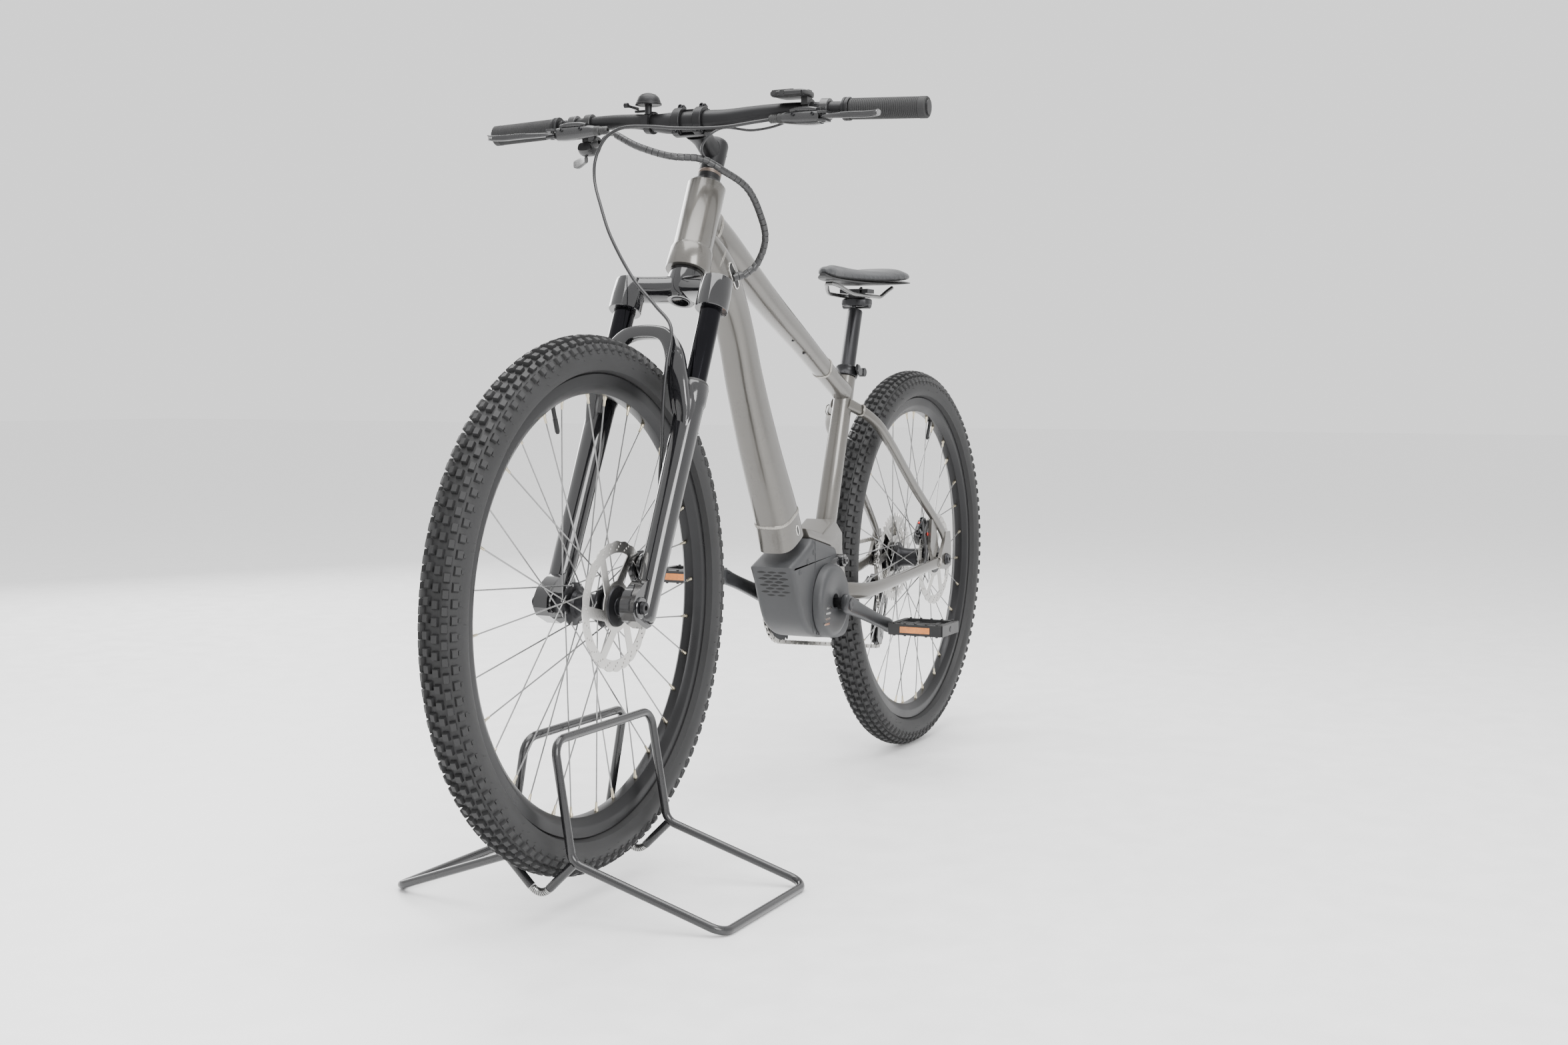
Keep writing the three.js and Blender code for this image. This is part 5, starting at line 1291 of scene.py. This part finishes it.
for side, hand in ((1, "left"), (-1, "right")):
    piece(f"{hand}_crank_arm", crank_arm(side), "crankset", crank_grey, f"{hand}_crank",
          crease=42)
    body = f"{hand}_pedal_body"
    piece(f"{hand}_pedal_cage", pedal_cage(side), body, pedal_black, f"{hand}_pedal",
          bevel=0.0009)
    centre = crank_out(side, CRANK_LENGTH, 152)
    pin = merged(cylinder(crank_out(side, CRANK_LENGTH, 77), crank_out(side, CRANK_LENGTH, 108), 7, steps=28),
                 turned([(0, 0), (6, 0), (6.5, 0.6), (5, 2.2), (0, 2.4)], crank_out(side, CRANK_LENGTH, 202),
                        (0, side, 0), 24, False))
    piece(f"{hand}_pedal_spindle", pin, body, bolt_black)
    lenses = [brick(centre.x + e * 45.7, centre.y, centre.z, 1.4, 56, 11) for e in (1, -1)]
    piece(f"{hand}_pedal_reflectors", merged(*lenses), body, amber, bevel=0.0006)

# ---------------------------------------------------------------- chain, chainring, sprockets and derailleur
# Stamped steel chain over a forged chainring, nine stepped sprockets and two toothed pulleys, tensioned by a
# black derailleur cage that hangs from the frame.
chain_metal = surface("chain_steel", (0.42, 0.41, 0.39), 0.30, grain=1500, spread=0.22, Metallic=1.0)
cog_metal = surface("cog_steel", (0.58, 0.57, 0.55), 0.26, grain=1600, spread=0.14, Metallic=1.0)
PITCH = 12.7
CHAIN_Y = -53
GUIDE, TENSION = (-598, 301), (-572, 216)


def pitch_radius(teeth):
    return PITCH / (2 * math.sin(math.pi / teeth))


SPROCKETS = [((-125.5, 332), pitch_radius(36), 1), ((-610.5, 370), pitch_radius(20), 1),
             (GUIDE, pitch_radius(11), -1),
             (TENSION, pitch_radius(11), 1)]


def chain_path():
    """The chain's closed pitch line, in millimetres: arcs round the wheels, joined by straight runs."""
    heading = []
    for i, ((ax, az), r, turn) in enumerate(SPROCKETS):
        (bx, bz), next_r, next_turn = SPROCKETS[(i + 1) % 4]
        reach = math.hypot(bx - ax, bz - az)
        heading.append(math.atan2(bz - az, bx - ax) + math.asin((turn * r - next_turn * next_r) / reach))
    line = []
    for i, ((x, z), r, turn) in enumerate(SPROCKETS):
        start = heading[i - 1]
        sweep = turn * ((turn * (heading[i] - start)) % (2 * math.pi))
        for k in range(25):
            angle = start + sweep * k / 24 - turn * quarter
            line.append((x + r * math.cos(angle), CHAIN_Y, z + r * math.sin(angle)))
    return line


def even_points(line, count):
    """Points an even step apart round a closed line."""
    closed = line + [line[0]]
    reach = [0.0]
    for a, b in zip(closed, closed[1:]):
        reach.append(reach[-1] + math.dist(a, b))
    points = []
    segment = 0
    for k in range(count):
        want = reach[-1] * k / count
        while reach[segment + 1] < want:
            segment += 1
        t = (want - reach[segment]) / (reach[segment + 1] - reach[segment])
        points.append([p + (q - p) * t for p, q in zip(closed[segment], closed[segment + 1])])
    return points


def link_tree():
    """Lays its link object from every second point of a closed path to the next point."""
    tree = bpy.data.node_groups.new("links_along_path", "GeometryNodeTree")
    given, result = interface(tree,
                              {"Link": "Object", "Count": "Int", "Which": "Float", "Material": "Material"})
    index = node(tree, "GeometryNodeInputIndex").outputs[0]
    here = node(tree, "GeometryNodeInputPosition").outputs[0]
    after = node(tree, "ShaderNodeMath", {0: index, 1: 1.0}, operation="ADD")
    wrapped = node(tree, "ShaderNodeMath", {0: after.outputs[0], 1: given["Count"]}, operation="MODULO")
    next_pin = node(tree, "GeometryNodeSampleIndex", data_type="FLOAT_VECTOR")
    tree.links.new(given["Geometry"], next_pin.inputs["Geometry"])
    tree.links.new(here, next_pin.inputs["Value"])
    tree.links.new(wrapped.outputs[0], next_pin.inputs["Index"])
    along = node(tree, "ShaderNodeVectorMath", {0: next_pin.outputs[0], 1: here}, operation="SUBTRACT")
    turn = node(tree, "FunctionNodeAlignRotationToVector", {"Vector": along.outputs[0]}, axis="X",
                pivot_axis="Y")
    parity = node(tree, "ShaderNodeMath", {0: index, 1: 2.0}, operation="MODULO")
    chosen = node(tree, "ShaderNodeMath", {0: parity.outputs[0], 1: given["Which"], 2: 0.1},
                  operation="COMPARE")
    link = node(tree, "GeometryNodeObjectInfo", {"Object": given["Link"]})
    copies = node(tree, "GeometryNodeInstanceOnPoints",
                  {"Points": given["Geometry"], "Selection": chosen.outputs[0],
                                                         "Instance": link.outputs["Geometry"],
                   "Rotation": turn.outputs[0]})
    real = node(tree, "GeometryNodeRealizeInstances", {"Geometry": copies.outputs[0]})
    painted = node(tree, "GeometryNodeSetMaterial",
                   {"Geometry": real.outputs[0], "Material": given["Material"]})
    tree.links.new(painted.outputs[0], result.inputs[0])
    return tree


def link_plates(y, thick):
    """Two waisted side plates that reach from one pin to the next."""
    outline = arc(3.9, -2.2, 2.2, 6, PITCH) + arc(3.9, math.pi - 2.2, math.pi + 2.2, 6, 0)
    return merged(*(slab(outline, s * y - thick / 2, s * y + thick / 2) for s in (1, -1)))


path_length = sum(math.dist(a, b) for a, b in zip(chain_path(), chain_path()[1:] + chain_path()[:1]))
PINS = even_points(chain_path(), 2 * round(path_length / PITCH / 2))
inner_link = merged(link_plates(1.75, 0.9),
                    *(turned([(0, -1.6), (3.8, -1.6), (3.8, 1.6), (0, 1.6)], (x, 0, 0), (0, 1, 0), 10, False)
                                              for x in (0, PITCH)))
outer_link = merged(link_plates(2.7, 0.8),
                    *(turned([(0, -3.3), (1.9, -3.3), (1.9, 3.3), (0, 3.3)], (x, 0, 0), (0, 1, 0), 8, False)
                                             for x in (0, PITCH)))
LINKS = link_tree()
pin_points = [Vector(p) * MM for p in PINS], []
for which, (name, shape) in enumerate((("inner", inner_link), ("outer", outer_link))):
    link = bpy.data.objects.new("link", mesh_of(shape))
    scene.collection.objects.link(link)
    row = grown(pin_points, LINKS, Link=link, Count=len(PINS), Which=float(which), Material=chain_metal)
    bpy.data.objects.remove(link)
    piece(f"chain_{name}_links", row, "main_frame", chain_metal, "chain" if which else ())


def toothed(teeth, low, high, phase, holes=(), tip=2.6):
    """A flat toothed wheel about the origin, in millimetres."""
    r = pitch_radius(teeth)
    step = 2 * math.pi / teeth
    shape = ((-0.5, -4.1), (-0.34, -3.7), (-0.2, -0.6), (-0.09, tip), (0.09, tip), (0.2, -0.6), (0.34, -3.7))
    outline = [((r + rise) * math.cos(phase + (i + part) * step),
                (r + rise) * math.sin(phase + (i + part) * step))
               for i in range(teeth) for part, rise in shape]
    return slab(outline, low, high, holes)


def seated(wheel, teeth):
    """The turn of a wheel whose gaps lie on the chain's pins."""
    (x, z), r, _ = SPROCKETS[wheel]
    on_it = [p for p in PINS if abs(math.dist((p[0], p[2]), (x, z)) - r) < 0.4]
    pin = on_it[len(on_it) // 2]
    return math.atan2(pin[2] - z, pin[0] - x) + math.pi / teeth


def placed_at(shape, x, z):
    return moved(shape, Matrix.Translation(Vector((x, 0, z)) * MM))


def windows(count, inner, outer, start=0.14, stop=0.86, lean=0.0):
    pitch = 2 * math.pi / count
    return [arc(outer, pitch * (i + start), pitch * (i + stop), 10) +
            arc(inner, pitch * (i + stop - 0.1 + lean), pitch * (i + start + 0.1 + lean), 6)
            for i in range(count)]


ring = merged(toothed(36, CHAIN_Y - 1, CHAIN_Y + 1, seated(0, 36), [*windows(4, 26, 56), circle(11, 32)],
                      1.8),
              turned([(11, -56), (22, -56), (23, -55), (23, -51.5), (11, -51.5)], (0, 0, 0), (0, 1, 0)))
piece("toothed_chainring", placed_at(ring, -125.5, 332), "crankset", crank_grey, "chainring",
      bevel=0.0002)
piece("crank_square_axle", turned([(0, -81), (9.8, -81), (10.6, -80), (10.6, 80), (9.8, 81), (0, 81)],
                                  (-125.5, 0, 332), (0, 1, 0),
                                  36, False), "crankset", bolt_black, "crank_axle")

COGS = [42, 36, 32, 28, 24, 20, 17, 15, 13]
cogs = []
for i, teeth in enumerate(COGS):
    y = CHAIN_Y + (5 - i) * 4.1
    r = pitch_radius(teeth)
    holes = [circle(17, 28)] + (windows(7, r * 0.5, r - 13, 0.12, 0.88, 0.2) if teeth > 24 else [])
    cogs.append(toothed(teeth, y - 0.7, y + 0.7, seated(1, 20), holes))
piece("sprocket_stack", placed_at(merged(*cogs), -610.5, 370), "sprockets", cog_metal,
      "cassette")
spider = turned([(17, -70.2), (20, -70.2), (21, -69.4), (21, -66), (22.5, -62), (25, -56), (29, -50),
                 (36, -44), (44, -34), (44, -33),
                 (17, -33)], (0, 0, 0), (0, 1, 0), 48)
piece("sprocket_carrier", placed_at(spider, -610.5, 370), "sprockets", hub_black)

for wheel, (name, body, (x, z)) in enumerate((("guide", "guide_wheel", GUIDE),
                                              ("tension", "tension_wheel", TENSION)), start=2):
    core = turned([(3.6, -3.5), (6, -3.5), (6.6, -2.8), (6.6, -1.2), (14.5, -1.2), (14.5, 1.2), (6.6, 1.2),
                   (6.6, 2.8), (6, 3.5), (3.6, 3.5)],
                  (0, CHAIN_Y, 0), (0, 1, 0), 32)
    pulley = merged(core, toothed(11, CHAIN_Y - 1.1, CHAIN_Y + 1.1, seated(wheel, 11), [circle(6, 16)], 1.6))
    piece(f"{name}_pulley", placed_at(pulley, x, z), body, pedal_black, f"{name}_jockey")

cage_outline = traced([(-614, 309), (-600, 318), (-584, 313), (-578, 296), (-566, 258), (-557, 224),
                       (-557, 208), (-568, 200),
                       (-582, 206), (-588, 224), (-600, 262), (-612, 290), (-614, 309)], 3)[:-1]
cage_window = traced([(-592, 282), (-584, 272), (-577, 246), (-582, 240), (-590, 256), (-597, 276),
                      (-592, 282)], 3)[:-1]
cage = [slab(cage_outline, low, high, [cage_window]) for low, high in ((-61, -58.5), (-47.5, -45))]
cage_pins = [cylinder((x, -61.6, z), (x, -44.4, z), 3.2, steps=20) for x, z in (GUIDE, TENSION)]
body = loft([(-626, -86, 318, 8, 11), (-616, -88, 307, 11, 13), (-604, -88, 296, 12, 14),
             (-590, -76, 302, 12, 13),
             (-596, -66, 302, 9, 12)], (0, 1, 0), 2.6, 32, 5)
knuckles = [turned([(0, -70), (9.4, -70), (11, -68.6), (11, -60), (10, -58.5), (0, -58.5)], (-598, 0, 301),
                   (0, 1, 0), 40, False),
            turned([(0, -92), (3, -92), (3, -90), (7.6, -90), (9, -88.6), (9, -77.4), (0, -77.4)],
                   (-628, 0, 323), (0, 1, 0), 40, False)]
outer_link_arm = loft([(-630, -95, 322, 2.4, 8), (-612, -99, 304, 2.6, 7), (-596, -94, 292, 2.4, 8)],
                      (0, 1, 0), 3.4, 24, 5)
piece("derailleur_body", merged(*cage, *cage_pins, body, *knuckles, outer_link_arm), "main_frame",
      fork_gloss,
      "rear_derailleur", bevel=0.0004, crease=40)
derailleur_cable = rod(cord_line([(-560, -66, 362), (-600, -76, 372), (-640, -84, 362), (-652, -88, 338),
                                  (-640, -90, 318), (-628, -91, 310)]),
                       2.2 * MM, 12)
piece("derailleur_cable", derailleur_cable, "main_frame", hose_nylon)

# ---------------------------------------------------------------- brake calipers and rear axle
# Two-piston calipers in two bolted halves over the disc, with a banjo hose fitting. The rear one carries red
# bleed caps. The rear through axle ends in a hexagon-headed nut.
caliper_black = surface("caliper_coating", (0.014, 0.014, 0.015), 0.22, grain=600, bump=0.00006,
                        Coat_Weight=0.4)
cap_red = surface("red_anodising", (0.55, 0.03, 0.02), 0.28, grain=1600, Metallic=0.7)


def caliper_parts():
    """The halves, their bridge, bolts and fitting about the disc's edge, in millimetres."""
    shape = traced([(-25, 6), (-24, -13), (-14, -15), (18, -15), (25, -9), (26, 3), (22, 14), (8, 17),
                    (-16, 17), (-25, 6)], 3)[:-1]
    upper = [(-16, 10.6), (18, 10.6), (17, 16.5), (-14, 16.5)]
    halves = [rounded_slab(shape, -14, -2, 3), rounded_slab(shape, 2, 9, 2.4), slab(upper, -10, 6)]
    bosses = [turned([(0, -16), (6, -16), (6.6, -15.4), (9.6, -15), (10.4, -14), (10.4, -12), (0, -12)],
                     (0, 0, -1), (0, 1, 0), 36, False),
              turned([(0, 11), (5, 11), (5.6, 10.4), (9, 10), (9.8, 9), (9.8, 7), (0, 7)], (0, 0, -1),
                     (0, 1, 0), 36, False)]
    bolts = [merged(cylinder((x, -4, 10), (x, -4, 18), 5.2),
                    socket_bolt((x, -4, 18), (0, 0, 1), 4.4, 4.2, 2)) for x in (16, -16)]
    banjo = merged(cylinder((0, 1, 4), (0, 1, 26), 3.2),
                   turned([(0, 16), (5.2, 16), (5.6, 17), (5.6, 23), (5.2, 24), (0, 24)], (0, 1, 0),
                                                              (0, 0, 1), 28, False))
    tabs = [brick(x, -4, 15, 12, 11, 6) for x in (16, -16)]
    return merged(*halves, *bosses, *tabs), merged(*bolts, banjo)


def at_disc(shape, end, distance, degrees):
    angle = math.radians(degrees)
    away = AXLE[end] + Vector((math.cos(angle), 0,
                               math.sin(angle))) * distance * MM + Vector((0, DISC_SIDE[end], 0))
    return moved(shape, Matrix.Translation(away) @ Matrix.Rotation(quarter - angle, 4, "Y"))


castings, fittings = caliper_parts()
for end, body, distance, degrees in (("front", STAND_BODY, 82, 149), ("rear", "main_frame", 80, 44)):
    piece(f"{end}_caliper_halves", at_disc(castings, end, distance, degrees), body, caliper_black,
          f"{end}_caliper",
          bevel=0.0004, crease=40)
    piece(f"{end}_caliper_bolts", at_disc(fittings, end, distance, degrees), body, bolt_black,
          crease=35)
caps = merged(turned([(0, 0), (3.2, 0), (3.6, 0.5), (3.2, 1.8), (0, 2)], (9, 10, 6), (0, 1, 0), 20, False),
              cylinder((-8, -8, 16), (-8, -8, 19.5), 2.6, steps=20), brick(2, 0, -15.6, 16, 2.6, 2.4))
piece("rear_caliper_caps", at_disc(caps, "rear", 80, 44), "main_frame", cap_red, bevel=0.0003)
rear_hose_end = [(-553, 53, 444), (-545, 54, 452), (-534, 56, 446), (-530, 60, 424), (-528, 65, 396),
                 (-520, 67, 374), (-508, 66, 364)]
piece("rear_hose_end", rod(cord_line(rear_hose_end), 2.4 * MM, 12), "main_frame", hose_nylon)
rear_end = merged(turned([(0, -79), (5.4, -79), (6, -78.4), (6, 78), (0, 78)], (-610.5, 0, 370), (0, 1, 0),
                         32, False),
                  turned([(0, 77.4), (11.4, 77.4), (12, 78), (11, 80.4), (9.5, 80.6), (8.6, 84), (3.4, 84),
                          (3.4, 81), (0, 81)],
                         (-610.5, 0, 370), (0, 1, 0), 36, False))
piece("rear_through_axle", rear_end, "main_frame", bolt_black, "rear_axle", bevel=0.0003)

# ---------------------------------------------------------------- seatpost and saddle
# A straight alloy post pinched by a cam-lever collar, with a cradle clamp for the two rails. The saddle is a
# nylon shell with a foam pad under vinyl that is embossed all over.
post_black = surface("post_anodising", (0.022, 0.022, 0.024), 0.34, grain=2400, Metallic=0.6)
rail_steel = surface("rail_steel", (0.20, 0.20, 0.20), 0.28, grain=1800, Metallic=1.0)
shell_nylon = surface("shell_nylon", (0.016, 0.016, 0.0165), 0.45, grain=700, bump=0.00008)
piece("seatpost_tube", turned([(0, 150), (12.8, 150), (13.6, 151), (13.6, 426), (12.6, 428), (0, 428)],
                              on_seat(0), SEAT_UP, 64, False),
      "saddle", post_black, "seatpost")


def behind(y, height=9, back=25):
    return on_seat(300.3 + height) + Vector((-back, y, 0))


collar = turned([(14, 0), (19.4, 0), (20, 0.6), (20, 3), (19.2, 4), (19.2, 14), (20, 15), (20, 17.4),
                 (19.4, 18), (14, 18)],
                on_seat(300.3), SEAT_UP, 64)
lug = behind(0)
lugs = [brick(lug.x + 4, s * 5.6, lug.z, 17, 8, 14.6) for s in (1, -1)]
piece("seat_collar", merged(collar, *lugs, cylinder(behind(-19), behind(14), 3.4),
                            turned([(0, 0), (6.4, 0), (7, 0.6), (7, 6), (6, 7), (3, 7), (3, 5), (0, 5)],
                                   behind(-12), (0, -1, 0), 32, False)),
      "main_frame", post_black, "seat_clamp", bevel=0.0005, crease=40)
cam = turned([(0, 0), (7.4, 0), (8, 0.6), (8, 11), (7.2, 11.7), (0, 11.7)], behind(14.3), (0, 1, 0), 36,
             False)
blade = loft([(*behind(20), 4, 6), (*behind(23, 11, 0), 4, 7.4), (*behind(26, 15, -10), 3.6, 7.6),
              (*behind(28, 18, -22), 2.6, 6)],
             (0, 1, 0), 3, 24, 6)
piece("seat_collar_lever", merged(cam, blade), "clamp_lever", post_black, "seat_clamp_lever")

cradle = merged(loft([(-352, 0, 860, 12, 6), (-345, 0, 860, 24, 8), (-331, 0, 860, 27, 8),
                      (-317, 0, 860, 24, 8), (-310, 0, 860, 12, 6)],
                     (0, 1, 0), 4, 32, 4),
                brick(-331, 0, 874, 28, 22, 20), *(brick(-331, s * 22, 880, 32, 11, 7.4) for s in (1, -1)),
                brick(-331, 0, 880, 12, 52, 6),
                cylinder((-331, -26, 857), (-331, 26, 857), 8.6))
piece("rail_clamp", cradle, "saddle", post_black, "saddle_clamp", bevel=0.0008)
piece("rail_clamp_bolts", merged(*(socket_bolt((-331 + e * 14, 0, 852 + 0.4), (0, 0, -1), 3.6, 3.4, 1.8)
                                   for e in (1, -1))), "saddle",
      bolt_black)
RAIL_HALF = [(-426, 31, 891), (-410, 28, 884), (-390, 23, 873), (-378, 22, 872), (-264, 22, 872),
             (-246, 20, 875), (-222, 12, 884),
             (-206, 6, 887.5)]
rail_line = smooth_through([[v * MM for v in p] for p in RAIL_HALF], 6)
rail_line += [[x, -y, z] for x, y, z in reversed(rail_line)]
piece("steel_rails", rod(rail_line, 3.5 * MM, 18), "saddle", rail_steel, "saddle_rails")

SADDLE = [(-176, 9, 915, 905), (-184, 16, 918.5, 901), (-205, 20.5, 920, 898.5), (-240, 23, 919.5, 897.5),
          (-285, 31, 918, 897),
          (-330, 45, 917.5, 897), (-370, 61, 920, 898), (-405, 71, 925, 900.5), (-428, 70, 926, 902.5),
          (-442, 60, 922, 905),
          (-449, 42, 916, 907)]


def saddle_form(shrink, top, foot, sides=40):
    """The saddle's outer form, or a layer of it between two heights given by its top and lower edge."""
    rings = []
    for x, half, high, low in smooth_through([(x, half, high, low) for x, half, high, low in SADDLE], 4):
        ceiling, floor_z = top(high, low), foot(high, low)
        edge = floor_z + (ceiling - floor_z) * 0.35
        ring = []
        for k in range(sides):
            angle = 2 * math.pi * (k + 0.5) / sides
            c, s = math.cos(angle), math.sin(angle)
            rise = (ceiling - edge) * s**0.9 if s > 0 else -(edge - floor_z) * (-s)**0.5
            ring.append(Vector((x, (half - shrink) * math.copysign(abs(c)**0.75, c), edge + rise)) * MM)
        rings.append(ring)
    return skin(rings)


piece("saddle_base", saddle_form(3, lambda high, low: low - 0.3, lambda high, low: low - 5.5), "saddle",
      shell_nylon,
      "saddle_shell")


def vinyl():
    """Grained vinyl, embossed all over with a fine dimpled weave."""
    made = surface("saddle_vinyl", (0.030, 0.031, 0.033), 0.52, grain=1300, spread=0.10, bump=0.00006,
                   Sheen_Weight=0.12)
    tree = made.node_tree
    shader = tree.nodes["Principled BSDF"]
    place = node(tree, "ShaderNodeTexCoord").outputs["Object"]
    dimples = node(tree, "ShaderNodeTexVoronoi", {"Vector": place, "Scale": 330.0}, feature="SMOOTH_F1")
    emboss = node(tree, "ShaderNodeBump",
                  {"Height": dimples.outputs["Distance"], "Distance": 0.0004, "Strength": 0.55,
                                           "Normal": shader.inputs["Normal"].links[0].from_socket})
    tree.links.new(emboss.outputs["Normal"], shader.inputs["Normal"])
    return made


def plumped(mesh, voxel=0.004, reach=0.0030):
    """Blows the closed pad up as stuffed cloth, holding every point near where it began."""
    pad = bpy.data.objects.new("pad", mesh)
    scene.collection.objects.link(pad)
    remesh = pad.modifiers.new("remesh", "REMESH")
    remesh.mode = "VOXEL"
    remesh.voxel_size = voxel
    remeshed = bpy.data.meshes.new_from_object(pad.evaluated_get(bpy.context.evaluated_depsgraph_get()))
    pad.modifiers.remove(remesh)
    pad.data = remeshed
    rest = [v.co.copy() for v in remeshed.vertices]
    cloth = pad.modifiers.new("cloth", "CLOTH")
    cloth.settings.use_pressure = True
    cloth.settings.uniform_pressure_force = 4
    cloth.settings.effector_weights.gravity = 0
    for number in range(1, 21):
        scene.frame_set(number)
    swollen = bpy.data.meshes.new_from_object(pad.evaluated_get(bpy.context.evaluated_depsgraph_get()))
    scene.frame_set(1)
    pad.modifiers.remove(cloth)
    for point, start in zip(swollen.vertices, rest):
        move = point.co - start
        if move.length > reach:
            move *= reach / move.length
        move.z = max(move.z, 0)
        point.co = start + move
    pad.data = swollen
    smooth = pad.modifiers.new("smooth", "CORRECTIVE_SMOOTH")
    smooth.iterations = 6
    finer = pad.modifiers.new("finer", "SUBSURF")
    finer.levels = finer.render_levels = 1
    done = bpy.data.meshes.new_from_object(pad.evaluated_get(bpy.context.evaluated_depsgraph_get()))
    bpy.data.objects.remove(pad)
    return done


saddle_vinyl = vinyl()
pad_mesh = plumped(mesh_of(saddle_form(2.4, lambda high, low: high - 2.4, lambda high, low: low + 0.6)))
pad = piece("saddle_cushion", pad_mesh, "saddle", saddle_vinyl, "saddle_pad")
